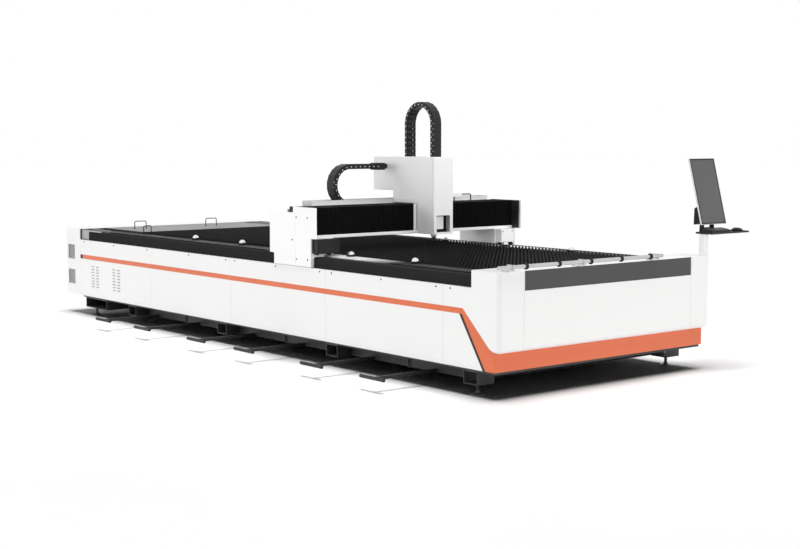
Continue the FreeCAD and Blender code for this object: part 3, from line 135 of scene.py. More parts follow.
def pickFaces(piece, wanted=lambda face: True):  # leaves the piece in edit mode with those faces selected
    startPicking(piece)
    for face in piece.data.polygons:
        face.select = bool(wanted(face))
    bpy.context.tool_settings.mesh_select_mode = (False, False, True)
    bpy.ops.object.mode_set(mode="EDIT")


def pickPoints(piece, wanted):  # leaves the piece in edit mode with those vertices selected
    startPicking(piece)
    for point in piece.data.vertices:
        point.select = bool(wanted(point.co))
    bpy.context.tool_settings.mesh_select_mode = (True, False, False)
    bpy.ops.object.mode_set(mode="EDIT")


def doneEditing():
    bpy.ops.object.mode_set(mode="OBJECT")


def facing(axis, sign, at=None):  # a test for flat faces that look along an axis
    index = "XYZ".index(axis)
    return lambda face: (face.normal[index] * sign > 0.95
                         and (at is None or abs(face.center[index] - at) < 0.003))


def endOn(axis):  # a test for the faces at both ends
    return lambda face: abs(face.normal["XYZ".index(axis)]) > 0.9


def push(x=0, y=0, z=0):  # extrudes what is selected
    bpy.ops.mesh.extrude_region_move(TRANSFORM_OT_translate={"value": (x, y, z)})


def fatten(depth):  # extrudes what is selected along its normals
    bpy.ops.mesh.extrude_region_shrink_fatten(TRANSFORM_OT_shrink_fatten={"value": depth})


def movePoints(piece, wanted, x=0, y=0, z=0):
    pickPoints(piece, wanted)
    bpy.ops.transform.translate(value=(x, y, z))
    doneEditing()


def scaleFaces(piece, wanted, x=1, y=1, z=1):
    pickFaces(piece, wanted)
    bpy.ops.transform.resize(value=(x, y, z))
    doneEditing()


def insetFaces(piece, wanted, rim, x=0, y=0, z=0):  # a rim round the faces, and a step inside it
    pickFaces(piece, wanted)
    bpy.ops.mesh.inset(thickness=rim)
    push(x, y, z)
    doneEditing()


def fattenFaces(piece, wanted, depth):
    pickFaces(piece, wanted)
    fatten(depth)
    doneEditing()


def grooveFaces(piece, wanted, rim, depth):  # a groove inside a rim
    pickFaces(piece, wanted)
    bpy.ops.mesh.inset(thickness=rim)
    fatten(-depth)
    doneEditing()


def hollowOut(piece, axis, wall):  # a tunnel from end to end
    pickFaces(piece, endOn(axis))
    bpy.ops.mesh.inset(thickness=wall)
    bpy.ops.mesh.bridge_edge_loops()
    doneEditing()


def slicePiece(piece, axis, at, wanted):  # an edge loop across the faces that the test picks
    normal = [float(axis == name) for name in "XYZ"]
    pickFaces(piece, wanted)
    bpy.ops.mesh.bisect(plane_co=[at * part for part in normal], plane_no=normal)
    doneEditing()


def scoreJoint(piece, axis, at, wanted, width=0.003, depth=0.003):  # the gap between two sheets
    index = "XYZ".index(axis)
    for side in (-0.5, 0.5):
        slicePiece(piece, axis, at + side * width, wanted)
    fattenFaces(piece, lambda face: wanted(face) and abs(face.center[index] - at) < width / 2, -depth)


def applyModifier(piece, kind, **settings):
    makeActive(piece)
    modifier = piece.modifiers.new(kind.lower(), kind)
    for setting, value in settings.items():
        setattr(modifier, setting, value)
    bpy.ops.object.modifier_apply(modifier=modifier.name)


def roundEdges(piece, width, segments=2, angle=30):
    applyModifier(piece, "BEVEL", width=width, segments=segments, limit_method="ANGLE",
                  angle_limit=math.radians(angle), use_clamp_overlap=True)
    return piece


def faceOutwards(piece):
    pickFaces(piece)
    bpy.ops.mesh.remove_doubles(threshold=0.00002)
    bpy.ops.mesh.normals_make_consistent(inside=False)
    doneEditing()
    return piece


def joinAll(name, pieces):
    makeActive(pieces[0])
    for piece in pieces:
        piece.select_set(True)
    if len(pieces) > 1:
        bpy.ops.object.join()
    pieces[0].name = pieces[0].data.name = name
    return pieces[0]


def copyAt(piece, place, name="copy"):  # place is a matrix; the copy has its own mesh
    twin = piece.copy()
    twin.data = piece.data.copy()
    twin.data.transform(place)
    twin.name = name
    bpy.context.scene.collection.objects.link(twin)
    return twin


def rowOf(piece, name, places):
    twins = [copyAt(piece, place) for place in places]
    bpy.data.objects.remove(piece)
    return joinAll(name, twins)


def moved(x, y, z):
    return Matrix.Translation((x, y, z))


def turnedBy(degrees, axis):
    return Matrix.Rotation(math.radians(degrees), 4, axis)


def bothSides(piece, name):  # joins the piece with its mirror twin on the other long side
    twin = copyAt(piece, Matrix.Scale(-1, 4, (0, 1, 0)), "twin")
    pickFaces(twin)
    bpy.ops.mesh.flip_normals()
    doneEditing()
    return joinAll(name, [piece, twin])


def camelName(node):
    words = node.split("_")
    return words[0] + "".join(word.title() for word in words[1:])


def dressNode(node, width=None, segments=2):  # a CAD piece with its edges rounded as sheet and castings are
    dropSelection()
    piece = nodes[node].copy()
    piece.data = nodes[node].data.copy()
    piece.parent = None
    for key in list(piece.keys()):
        del piece[key]
    bpy.context.scene.collection.objects.link(piece)
    piece.name = camelName(node)
    makeActive(piece)
    if piece.data.has_custom_normals:
        bpy.ops.mesh.customdata_custom_splitnormals_clear()
    pickFaces(piece)
    bpy.ops.mesh.remove_doubles(threshold=0.00002)
    bpy.ops.mesh.dissolve_limited(angle_limit=math.radians(1))
    doneEditing()
    return roundEdges(piece, width, segments) if width else piece


def finishPiece(piece, slot, body, replaced=(), edge=None, angle=35, finish=None):
    if edge:  # the width and the segments of its rounded edges
        roundEdges(piece, *edge)
    makeActive(piece)
    bpy.ops.object.shade_smooth_by_angle(angle=math.radians(angle))
    applyModifier(piece, "WEIGHTED_NORMAL", keep_sharp=True)
    piece.data.materials.clear()
    piece.data.materials.append(finishes[finish or slot])
    if body:  # a piece that is blended across a joint has none
        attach(piece, body)
    if body in ("gantry", "carriage", "cutting_head"):
        gantryLit.objects.link(piece)
    for node in replaced:
        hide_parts(node)


def finishNode(node, width, segments=2, finish=None):
    piece = dressNode(node, width, segments)
    finishPiece(piece, slotOf[node], nodes[node]["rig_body"], [node], finish=finish)


# finishes: each reads Object coordinates, so its grain stays with the piece

def fillNode(tree, node, values, links):
    for socket, value in values.items():
        node.inputs[socket].default_value = value
    for socket, source in links.items():
        tree.links.new(source, node.inputs[socket])


def addNode(tree, kind, values, links, **settings):
    node = tree.nodes.new("ShaderNode" + kind)
    for setting, value in settings.items():
        setattr(node, setting, value)
    fillNode(tree, node, values, links)
    return node.outputs


def newFinish(name):
    material = bpy.data.materials.new(name)
    material.use_nodes = True
    tree = material.node_tree
    return material, tree, tree.nodes["Principled BSDF"], addNode(tree, "TexCoord", {}, {})["Object"]


def noise(tree, source, scale, detail=3, roughness=0.5):
    values = {"Scale": scale, "Detail": detail, "Roughness": roughness}
    return addNode(tree, "TexNoise", values, {"Vector": source})["Fac"]


def spread(tree, source, low, high, fromLow=0.3, fromHigh=0.7):
    values = {"From Min": fromLow, "From Max": fromHigh, "To Min": low, "To Max": high}
    return addNode(tree, "MapRange", values, {"Value": source})["Result"]


def mottled(tree, patches, first, second):  # two colours in soft patches
    values = {"A": (*first, 1), "B": (*second, 1)}
    return addNode(tree, "Mix", values, {"Factor": spread(tree, patches, 0, 1)}, data_type="RGBA")["Result"]


def bumped(tree, shader, height, distance, before=None):
    links = {"Height": height}
    if before is not None:
        links["Normal"] = before
    normal = addNode(tree, "Bump", {"Distance": distance, "Strength": 1}, links)["Normal"]
    tree.links.new(normal, shader.inputs["Normal"])
    return normal


def coverWith(tree, shader, look, share, patches, streaks, values):  # colour in patches, roughness in streaks
    second = [min(1, channel * share) for channel in look["colour"]]
    fillNode(tree, shader, values, {"Base Color": mottled(tree, patches, look["colour"], second),
                                    "Roughness": spread(tree, streaks, *look["roughness"])})


def paintFinish(name, look):  # powder coat: faint orange peel, a little dust that dulls it in patches
    material, tree, shader, where = newFinish(name)
    values = {"Coat Weight": look["coat"], "Coat Roughness": look["coatRoughness"],
              "Specular IOR Level": look["specular"]}
    coverWith(tree, shader, look, look["shade"], noise(tree, where, look["patchScale"], 4),
              noise(tree, where, look["dustScale"], 5), values)
    peel = bumped(tree, shader, noise(tree, where, look["peelScale"], 2), look["peel"])
    if look["waves"]:
        bumped(tree, shader, noise(tree, where, look["waveScale"], 1), look["waves"], before=peel)
    return material


def steelFinish(name, look):  # ground or rolled metal: fine lines one way, cloudy roughness
    material, tree, shader, where = newFinish(name)
    drawn = addNode(tree, "Mapping", {"Scale": look["lines"]}, {"Vector": where})["Vector"]
    lines = noise(tree, drawn, look["lineScale"], 4, 0.6)
    coverWith(tree, shader, look, look["shade"], noise(tree, where, look["cloudScale"], 5), lines,
              {"Metallic": look["metal"]})
    bumped(tree, shader, lines, look["depth"])
    return material


def grainFinish(name, look):  # moulded plastic or rubber: a fine pebbled grain
    material, tree, shader, where = newFinish(name)
    grain = addNode(tree, "TexVoronoi", {"Scale": look["grainScale"]}, {"Vector": where})["Distance"]
    smudges = noise(tree, where, look["smudgeScale"], 4)
    coverWith(tree, shader, look, look["lift"], smudges, smudges, {"Specular IOR Level": look["specular"]})
    bumped(tree, shader, grain, look["grain"])
    return material


def clothFinish(name, look):  # coated cloth: a fine over-and-under weave with dust in soft patches
    material, tree, shader, where = newFinish(name)
    values = {"Scale": look["threadScale"], "Distortion": look["threadWander"]}
    heights = {index: addNode(tree, "TexWave", values, {"Vector": where}, bands_direction=direction)["Fac"]
               for index, direction in enumerate("XZ")}
    weave = addNode(tree, "Math", {}, heights, operation="MULTIPLY")["Value"]
    dust = noise(tree, where, look["dustScale"], 5)
    coverWith(tree, shader, look, look["lift"], dust, dust, {"Specular IOR Level": look["specular"]})
    bumped(tree, shader, weave, look["thread"])
    return material


def deckFinish(name, look):  # dark plate with a painted reflection: light patches near where the gantry is parked stand in for its white covers mirrored in the plate
    material, tree, shader, where = newFinish(name)
    along = addNode(tree, "SeparateXYZ", {}, {0: where})["X"]
    away = addNode(tree, "Math", {1: look["middle"]}, {0: along}, operation="SUBTRACT")[0]
    size = addNode(tree, "Math", {}, {0: away}, operation="ABSOLUTE")[0]
    worn, plain = [mottled(tree, noise(tree, where, scale, 3), *pair)
                   for scale, pair in ((look["wearScale"], look["worn"]), (look["dustScale"], look["plain"]))]
    links = {"Factor": spread(tree, size, 0, 1, *look["reach"]), "A": worn, "B": plain}
    fillNode(tree, shader, {"Specular IOR Level": look["specular"]},
             {"Base Color": addNode(tree, "Mix", {}, links, data_type="RGBA")["Result"],
              "Roughness": spread(tree, noise(tree, where, look["cloudScale"], 3), *look["roughness"])})
    return material


def grey(light):
    return (light, light, light)


whitePaint = {"colour": (0.86, 0.86, 0.855), "shade": 0.99, "patchScale": 0.7, "dustScale": 3,
              "roughness": (0.28, 0.36), "coat": 0.2, "coatRoughness": 0.12, "specular": 0.5,
              "peelScale": 700, "peel": 0.00004, "waveScale": 2.5, "waves": 0.0004}
darkPaint = dict(whitePaint, colour=(0.014, 0.014, 0.015), shade=0.7, patchScale=3, dustScale=6,
                 roughness=(0.42, 0.6), coat=0, peelScale=420, peel=0.00012, waves=0)
greyPaint = dict(whitePaint, colour=(0.045, 0.045, 0.047), shade=0.85, patchScale=1.6, roughness=(0.3, 0.42),
                 coat=0.1, coatRoughness=0.2, peelScale=600, peel=0.00005, waveScale=2, waves=0.0003)
paintLooks = {
    "white_paint": whitePaint,
    "orange_paint": dict(whitePaint, colour=(0.74, 0.155, 0.055), shade=0.95, patchScale=2, dustScale=4,
                         roughness=(0.28, 0.4), coat=0.15, coatRoughness=0.15, waves=0),
    "dark_paint": darkPaint,
    "grey_panel": greyPaint,
    "framePaint": dict(darkPaint, colour=(0.034, 0.034, 0.035)),
    "platePaint": dict(whitePaint, colour=grey(0.42), shade=0.8, coat=0),
    "trayPaint": dict(whitePaint, colour=grey(0.6), coat=0),
    "motorPaint": dict(darkPaint, colour=grey(0.006)),
    "lidPaint": dict(greyPaint, colour=(0.29, 0.29, 0.293), roughness=(0.55, 0.65), coat=0, specular=0.12),
}
steelLooks = {
    "bright_steel": {"colour": (0.62, 0.62, 0.63), "metal": 1.0, "shade": 0.86, "cloudScale": 9,
                     "lines": (4, 90, 90), "lineScale": 12, "roughness": (0.22, 0.38), "depth": 0.00003},
    "dullSteel": {"colour": (0.16, 0.16, 0.165), "metal": 0.8, "shade": 0.8, "cloudScale": 20,
                  "lines": (20, 20, 20), "lineScale": 12, "roughness": (0.35, 0.5), "depth": 0.00003},
    "slat_steel": {"colour": (0.035, 0.034, 0.033), "metal": 0.55, "shade": 0.6, "cloudScale": 14,
                   "lines": (60, 6, 60), "lineScale": 10, "roughness": (0.45, 0.7), "depth": 0.00015},
    "chrome_ball": {"colour": (0.86, 0.86, 0.87), "metal": 1.0, "shade": 0.94, "cloudScale": 40,
                    "lines": (30, 30, 30), "lineScale": 20, "roughness": (0.05, 0.1), "depth": 0.00001},
    "copper": {"colour": (0.72, 0.42, 0.25), "metal": 1.0, "shade": 0.75, "cloudScale": 60,
               "lines": (10, 10, 500), "lineScale": 6, "roughness": (0.2, 0.36), "depth": 0.00003},
}
grainLooks = {
    "black_rubber": {"colour": grey(0.014), "lift": 2.0, "smudgeScale": 12, "grainScale": 900,
                     "grain": 0.00008, "roughness": (0.6, 0.8), "specular": 0.35},
    "black_plastic": {"colour": (0.009, 0.009, 0.0095), "lift": 1.7, "smudgeScale": 10, "grainScale": 1400,
                      "grain": 0.00005, "roughness": (0.4, 0.54), "specular": 0.35},
    "white_plastic": {"colour": grey(0.76), "lift": 1.04, "smudgeScale": 8, "grainScale": 1400,
                      "grain": 0.00004, "roughness": (0.34, 0.45), "specular": 0.5},
    "screen": {"colour": (0.08, 0.08, 0.083), "lift": 1.12, "smudgeScale": 3, "grainScale": 2500,
               "grain": 0.000005, "roughness": (0.16, 0.26), "specular": 0.5},
}
blackCloth = {"colour": (0.0022, 0.0022, 0.0025), "lift": 1.6, "dustScale": 7, "threadScale": 160,
              "threadWander": 0.6, "thread": 0.0001, "roughness": (0.6, 0.8), "specular": 0.12}
clothLooks = {
    "black_fabric": blackCloth,
    # a lighter copy of the black cloth, used for the bed hoods
    "dustyFabric": dict(blackCloth, colour=(0.016, 0.016, 0.0168), lift=1.5, dustScale=5, specular=0.2),
}
deckLooks = {
    # the light patches round "middle" are a painted reflection of the white gantry, not wear
    "deckSteel": {"middle": 1.08, "reach": (0.45, 0.85), "wearScale": 14, "worn": (grey(0.86), grey(0.7)),
                  "dustScale": 6, "plain": (grey(0.009), grey(0.015)), "cloudScale": 9,
                  "roughness": (0.4, 0.55), "specular": 0.08},
}
finishes = {name: makeFinish(name, look)
            for makeFinish, looks in ((paintFinish, paintLooks), (steelFinish, steelLooks),
                                      (grainFinish, grainLooks), (clothFinish, clothLooks), (deckFinish, deckLooks))
            for name, look in looks.items()}
for name, node in nodes.items():
    node.data.materials.clear()
    node.data.materials.append(finishes[slotOf[name]])
print("finishes made:", len(finishes))


# stage, light and camera

stageLook = {"floorSize": 160, "colour": grey(0.95), "shade": 0.985, "patchScale": 0.6, "roughness": 0.7,
             "specular": 0.1, "seenWorld": 1.0, "worldLight": 0.006, "lampsAway": 8}
studioLights = {  # each shines from its own direction, wider and softer with its angle
    "floorLight": {"from": (0.06, 0.0, 1.0), "angle": 30, "strength": 3.3, "lit": "floor"},
    "overheadSoftbox": {"from": (0.1, -0.12, 1.0), "angle": 62, "strength": 2.5, "lit": "machine"},
    "roomFill": {"from": (0.72, -0.66, 0.05), "angle": 150, "strength": 0.45, "lit": "machine"},
    "nearSoftbox": {"from": (-0.45, -1.0, 0.14), "angle": 40, "strength": 1.58, "lit": "machine"},
    "endSoftbox": {"from": (1.0, 0.6, 0.14), "angle": 40, "strength": 1.72, "lit": "machine"},
    "gantryFill": {"from": (1.0, -0.3, -0.25), "angle": 80, "strength": 2.5, "lit": "gantry"},
    "backFill": {"from": (-0.7, 0.8, 0.3), "angle": 60, "strength": 0.45, "lit": "machine"},
}
view = {"place": (10.1225, -7.529, 1.791), "pitch": 5.56, "heading": 50.96, "lens": 62.79, "reach": 400}
gantryLit = bpy.data.collections.new("gantryLit")  # finishPiece adds what rides on the gantry


def setStage():
    reach = stageLook["floorSize"] / 2
    floor = addGrid("studioFloor", (8, 8), (-reach, -reach), (reach, reach))
    material, tree, shader, where = newFinish("floorPaper")
    faint = [channel * stageLook["shade"] for channel in stageLook["colour"]]
    patches = noise(tree, where, stageLook["patchScale"], 2)
    fillNode(tree, shader, {"Roughness": stageLook["roughness"], "Specular IOR Level": stageLook["specular"]},
             {"Base Color": mottled(tree, patches, stageLook["colour"], faint)})
    floor.data.materials.append(material)
    world = bpy.data.worlds.new("studioWorld")
    world.use_nodes = True
    tree = world.node_tree
    seen = addNode(tree, "LightPath", {}, {})["Is Diffuse Ray"]  # the room's light is dim, so shadows stay deep
    values = {"To Min": stageLook["seenWorld"], "To Max": stageLook["worldLight"]}
    strength = addNode(tree, "MapRange", values, {"Value": seen})["Result"]
    fillNode(tree, tree.nodes["Background"], {"Color": (1, 1, 1, 1)}, {"Strength": strength})
    bpy.context.scene.world = world


def setLights():
    groups = {"gantry": gantryLit}
    for lit, state in (("floor", "INCLUDE"), ("machine", "EXCLUDE")):  # the floor has a light of its own
        groups[lit] = bpy.data.collections.new(lit + "Lit")
        groups[lit].objects.link(bpy.data.objects["studioFloor"])
        groups[lit].collection_objects[0].light_linking.link_state = state
    for name, look in studioLights.items():
        lamp = bpy.data.lights.new(name, "SUN")
        lamp.angle = math.radians(look["angle"])
        lamp.energy = look["strength"]
        light = bpy.data.objects.new(name, lamp)
        light.location = Vector(look["from"]) * stageLook["lampsAway"]
        light.rotation_euler = Vector(look["from"]).to_track_quat("Z", "Y").to_euler()
        light.light_linking.receiver_collection = groups[look["lit"]]
        light.visible_glossy = look["lit"] == "floor"
        bpy.context.scene.collection.objects.link(light)


def setCamera():
    camera = bpy.data.objects.new("photoView", bpy.data.cameras.new("photoView"))
    camera.data.lens = view["lens"]
    camera.data.sensor_width = 36
    camera.data.clip_end = view["reach"]
    camera.location = view["place"]
    camera.rotation_euler = (math.radians(90 - view["pitch"]), 0, math.radians(view["heading"]))
    bpy.context.scene.collection.objects.link(camera)
    bpy.context.scene.camera = camera


setStage()
setLights()
setCamera()
bpy.context.scene.view_settings.view_transform = "Standard"
print("stage, lights and camera set")


# table slats: thin toothed blades, close together

slatSet = {"hook": 0.024, "hookBase": 0.8565, "count": 127, "thick": 0.004, "teeth": 42, "toothDepth": 0.032,
           "fromLid": 0.03}


def makeSlats():
    low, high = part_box("slats")
    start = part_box("rear_lid")[1].x + slatSet["fromLid"]
    step = (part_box("slat_ledges")[1].x - start) / slatSet["count"]
    reach = high.y + slatSet["hook"]
    pitch = reach / slatSet["teeth"]
    blade = addGrid("blade", (1, 2 * slatSet["teeth"]), (low.z, -reach), (high.z, reach))
    blade.data.transform(Matrix(((0, 0, 1, 0), (0, 1, 0, 0), (1, 0, 0, 0), (0, 0, 0, 1))))  # stood on edge
    pickPoints(blade, lambda p: p.z > high.z - 0.001 and round((p.y + reach) / pitch) % 2 == 0)
    bpy.ops.transform.translate(value=(0, 0, -slatSet["toothDepth"]))
    bpy.ops.mesh.select_all(action="SELECT")
    bpy.ops.mesh.dissolve_limited(angle_limit=math.radians(1))
    bpy.ops.mesh.select_all(action="SELECT")
    push(x=slatSet["thick"])
    doneEditing()
    movePoints(blade, lambda p: abs(p.y) > reach - 0.001 and p.z < low.z + 0.001, z=slatSet["hookBase"] - low.z)
    places = [moved(start + step * (i + 0.5) - slatSet["thick"] / 2, 0, 0) for i in range(slatSet["count"])]
    finishPiece(rowOf(faceOutwards(blade), "tableSlats", places), "slat_steel", "bed", ["slats"])


makeSlats()
print("table slats made")


# bellows: pleated cloth hoods; a flat grid is folded into shape row by row

bedHood = {"foldPitch": 0.024, "pleat": 0.009, "cloth": 0.0012, "half": 0.056, "corner": 0.012, "hold": 0.8}
beamHood = {"foldPitch": 0.026, "pleat": 0.011, "cloth": 0.0012, "topBack": 0.79, "hold": (1.04, 1.1)}


def pleatedHood(name, length, look, ridge, valley):  # ridge and valley are matching rows of (across, up)
    folds = round(length / look["foldPitch"])
    rows = len(ridge) - 1
    step = length / (2 * folds)
    aside = 10  # rows that are folded already stand clear of the others
    hood = addGrid(name, (2 * folds, rows), (0, 0), (length, 1))
    for row, spots in enumerate(zip(valley, ridge)):
        for parity, (across, up) in enumerate(spots):
            movePoints(hood, lambda p: abs(p.y - row / rows) < 0.01 / rows and abs(p.z) < 1e-6
                       and round(p.x / step) % 2 == parity, y=across + aside - row / rows, z=up + aside)
    movePoints(hood, lambda p: True, y=-aside, z=-aside)
    applyModifier(hood, "SOLIDIFY", thickness=look["cloth"], offset=-1)
    return hood


def hoodOutline(half, top):
    corner = bedHood["corner"]
    return [(-half, 0), (-half, top - corner), (corner - half, top), (half - corner, top), (half, top - corner),
            (half, 0)]


def makeBedHoods():
    pleat, half, hold = bedHood["pleat"], bedHood["half"], bedHood["hold"]
    for node, name, ends in (("bed_bellows_front", "bedHoodFront", ("gantry", "bed")),
                             ("bed_bellows_rear", "bedHoodRear", ("bed", "gantry"))):
        low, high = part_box(node)
        top = high.z - low.z
        hood = pleatedHood(name, high.x - low.x, bedHood, hoodOutline(half, top),
                           hoodOutline(half - pleat, top - pleat))
        pair = rowOf(hood, name, [moved(low.x, side * (high.y - half), low.z) for side in (-1, 1)])
        finishPiece(pair, "black_fabric", None, [node], angle=20, finish="dustyFabric")
        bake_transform(pair)


def makeBeamHoods():
    pleat, (x, z) = beamHood["pleat"], beamHood["hold"]
    for node, name, ends in (("beam_bellows_near", "beamHoodNear", ("gantry", "carriage")),
                             ("beam_bellows_far", "beamHoodFar", ("carriage", "gantry"))):
        low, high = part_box(node)
        foot, deep, tall, back = 0, high.x - low.x, high.z - low.z, beamHood["topBack"] - low.x
        ridge = [(foot, 0), (foot, deep), (tall, deep), (tall, back)]
        foot, deep, tall = pleat / 2, deep - pleat, tall - pleat / 2
        valley = [(foot, 0), (foot, deep), (tall, deep), (tall, back)]
        hood = pleatedHood(name, high.y - low.y, beamHood, ridge, valley)
        lie = Matrix(((0, 0, 1, low.x), (1, 0, 0, low.y), (0, 1, 0, low.z), (0, 0, 0, 1)))
        curtain = faceOutwards(rowOf(hood, name, [lie]))
        finishPiece(curtain, "black_fabric", None, [node], angle=20)
        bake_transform(curtain)


makeBedHoods()
makeBeamHoods()
print("bellows made")


# ball transfer units: a rolled steel cup with a lip, and its ball

ballUnit = {"ball": 0.028, "cup": 0.037, "cupHeight": 0.016, "forward": 0.05, "apart": 0.8, "count": 5,
            "wall": 0.004, "groove": 0.002, "well": 0.006, "seat": 0.006, "seatDepth": 0.004}


def makeBallUnits():
    radius, tall = ballUnit["cup"], ballUnit["cupHeight"]
    low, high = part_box("ball_cups")
    first, across = high.x - radius + ballUnit["forward"], high.y - radius
    places = [moved(first - ballUnit["apart"] * i, side * across, low.z)
              for i in range(ballUnit["count"]) for side in (-1, 1)]
    cup = addDrum("cup", (0, 0, tall / 2), radius, tall, sides=40)
    pickFaces(cup, facing("Z", 1))
    bpy.ops.mesh.inset(thickness=ballUnit["wall"])
    push(z=-ballUnit["well"])
    bpy.ops.mesh.inset(thickness=ballUnit["seat"], depth=-ballUnit["seatDepth"])
    doneEditing()
    grooveFaces(cup, lambda face: abs(face.normal.z) < 0.1 and face.center.xy.length > radius - 0.002,
                ballUnit["wall"], ballUnit["groove"])
    finishPiece(rowOf(roundEdges(cup, 0.0009), "ballCups", places), "black_plastic", "bed", ["ball_cups"])
    ball = addBall("ball", (0, 0, tall), ballUnit["ball"], 4)
    scaleFaces(ball, lambda face: face.center.z < tall * 0.35, z=0.96)  # the contact patch is worn flat
    finishPiece(rowOf(ball, "transferBalls", places), "chrome_ball", "bed", ["transfer_balls"], angle=60)


makeBallUnits()
print("ball units made")


# loading roller: soft ribbed rings on a long shaft

ringLook = {"radius": 0.0225, "width": 0.0135, "bore": 0.0137, "rim": 0.0045, "groove": 0.0012, "count": 5,
            "sides": 48, "shaft": 0.0135, "shaftRim": 0.004, "shaftEnd": 0.002}


def makeRollerRings():
    radius, width, count = ringLook["radius"], ringLook["width"], ringLook["count"]
    low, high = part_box("roller_rings")
    x, z = (low.x + high.x) / 2, (low.z + high.z) / 2
    ring = addDrum("ring", (0, 0, 0), radius, width, "Y", ringLook["sides"])
    hollowOut(ring, "Y", radius - ringLook["bore"])
    grooveFaces(ring, lambda face: abs(face.normal.y) < 0.1 and face.center.xz.length > radius - 0.001,
                ringLook["rim"], ringLook["groove"])
    pitch = (high.y - low.y - width) / (count - 1)
    places = [moved(x, low.y + width / 2 + pitch * i, z) for i in range(count)]
    rings = rowOf(roundEdges(ring, ringLook["groove"]), "rollerRings", places)
    finishPiece(rings, "black_rubber", "roller", ["roller_rings"])
    low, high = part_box("roller_shaft")
    shaft = addDrum("rollerShaft", (x, (low.y + high.y) / 2, z), ringLook["shaft"], high.y - low.y, "Y", 40)
    pickFaces(shaft, endOn("Y"))
    bpy.ops.mesh.inset(thickness=ringLook["shaftRim"], use_individual=True)
    bpy.ops.mesh.extrude_faces_move(TRANSFORM_OT_shrink_fatten={"value": -ringLook["shaftEnd"]})
    doneEditing()
    finishPiece(shaft, "bright_steel", "roller", ["roller_shaft"], edge=(0.0012, 2))


makeRollerRings()
print("roller rings made")


# sheet covers: the folded panels of the bed, the gantry and the head, with their joints, cuts and screws

skirtLook = {"round": 0.002, "y": 1.1, "seams": (-1.535, -0.136, 1.265, 2.68), "joint": (0.003, 0.003),
             "fold": 0.214, "foldJoint": (0.0025, 0.002), "foldEnd": 4,
             "screws": [(x, 0.744) for x in (-2.9165, -2.2725, -1.6055, -0.8345, -0.2065, -0.0645, 0.5625,
                                             1.1865, 1.3425, 1.9695, 2.6015, 2.7565)]}
coverLook = {"round": 0.002, "y": 1.12, "seams": (0.88,), "joint": (0.0025, 0.0025),
             "fold": 0.838, "foldJoint": (0.0025, 0.0025), "foldEnd": 0.88,
             "screws": ((0.8955, 1.163), (1.0495, 1.163), (0.8375, 0.979), (0.8965, 0.827), (1.0495, 0.829))}
louvreLook = {"size": (0.062, 0.0045, 0.0095), "columns": (0, 0.096, 0.446, 0.542), "rows": 8, "pitch": 0.029,
              "first": (-2.7585, 0.3045), "back": 0.001, "lip": 0.0008, "taper": 0.86, "inset": 0.003,
              "gap": (-0.0006, -0.0052, 0.0006)}
screwLook = {"radius": 0.0066, "height": 0.0032, "socket": 0.0032, "sides": 12, "sunk": 0.0002}
housingLook = {"round": 0.0025, "x": 3.2775, "seams": (-0.882, 0.888), "bandRound": 0.001, "panelRound": 0.0012}
stripeLook = {"y": (-1.0985, -1.095), "round": 0.0008,
              "cap": ((-3.0025, 0.5735), (-2.9605, 0.5735), (-2.9605, 0.6125), (-3.0025, 0.6125)),
              # "step" is a dark strip of painted shade along the stripe's diagonal, not a real step
              "step": ((3.094, 0.195), (3.119, 0.195), (2.874, 0.5715), (2.849, 0.5715))}
headLook = {"round": 0.004, "solidSlots": ((0.96, 1.05), (1.33, 1.46), 0.006, 0.0009), "frontJoint": 1.268,
            "jointWidth": 0.006, "door": ((0.7875, 1.225), (1.115, 1.465)), "doorSunk": 0.0025, "doorGap": 0.0022,
            "slots": (0.8315, 0.9205), "slotFirst": 1.3355, "slotPitch": 0.0265, "slotHeight": 0.0085,
            "slotDepth": 0.006, "feet": ((0.535, 0.607), (0.652, 0.73)), "footHeight": (1.3545, 1.3595),
            "footDepth": 0.004, "doorScrews": (0.015, 0.02), "frontScrews": (0.014, (1.2, 1.4, 1.61))}


def outlineCells(piece, wanted, xs, zs):  # one cell for each pair in zs; gives the test that finds them
    for x in xs:
        slicePiece(piece, "X", x, wanted)
    within = lambda face: wanted(face) and xs[0] < face.center.x < xs[1]
    for z in [edge for pair in zs for edge in pair]:
        slicePiece(piece, "Z", z, within)
    return lambda face: within(face) and any(low < face.center.z < high for low, high in zs)


def closeCuts(piece, wanted):  # takes small recesses out of a sheet
    pickFaces(piece, wanted)
    bpy.ops.mesh.delete(type="FACE")
    bpy.ops.mesh.select_all(action="SELECT")
    bpy.ops.mesh.fill_holes(sides=8)
    bpy.ops.mesh.dissolve_limited(angle_limit=math.radians(1))
    doneEditing()


def addScrews(name, spots, slot, body):  # socket screws; a spot is a point on a face and the way it looks
    radius, height = screwLook["radius"], screwLook["height"]
    screw = addDrum("screw", (0, 0, height / 2), radius, height, sides=screwLook["sides"])
    insetFaces(screw, facing("Z", 1), radius - screwLook["socket"], z=-height * 0.6)
    pickFaces(screw, facing("Z", -1))
    bpy.ops.mesh.delete(type="FACE")
    doneEditing()
    places = [moved(*(Vector(point) - Vector(way) * screwLook["sunk"]))
              @ Vector(way).to_track_quat("Z", "Y").to_matrix().to_4x4() for point, way in spots]
    finishPiece(rowOf(roundEdges(screw, 0.0007, 1, angle=50), name, places), slot, body)


def makeSides(part, look, body, screwName):  # the same cover on both long sides, with its joints and screws
    for side, sign in (("near", -1), ("far", 1)):
        node = f"{part}_{side}"
        cover = dressNode(node, look["round"])
        outer = facing("Y", sign, sign * look["y"])
        for seam in look["seams"]:
            scoreJoint(cover, "X", seam, outer, *look["joint"])
        scoreJoint(cover, "Z", look["fold"], lambda face: outer(face) and face.center.x < look["foldEnd"],
                   *look["foldJoint"])
        finishPiece(cover, "white_paint", body, [node])
    spots = [((x, sign * look["y"], z), (0, sign, 0)) for x, z in look["screws"] for sign in (-1, 1)]
    addScrews(screwName, spots, "dark_paint", body)


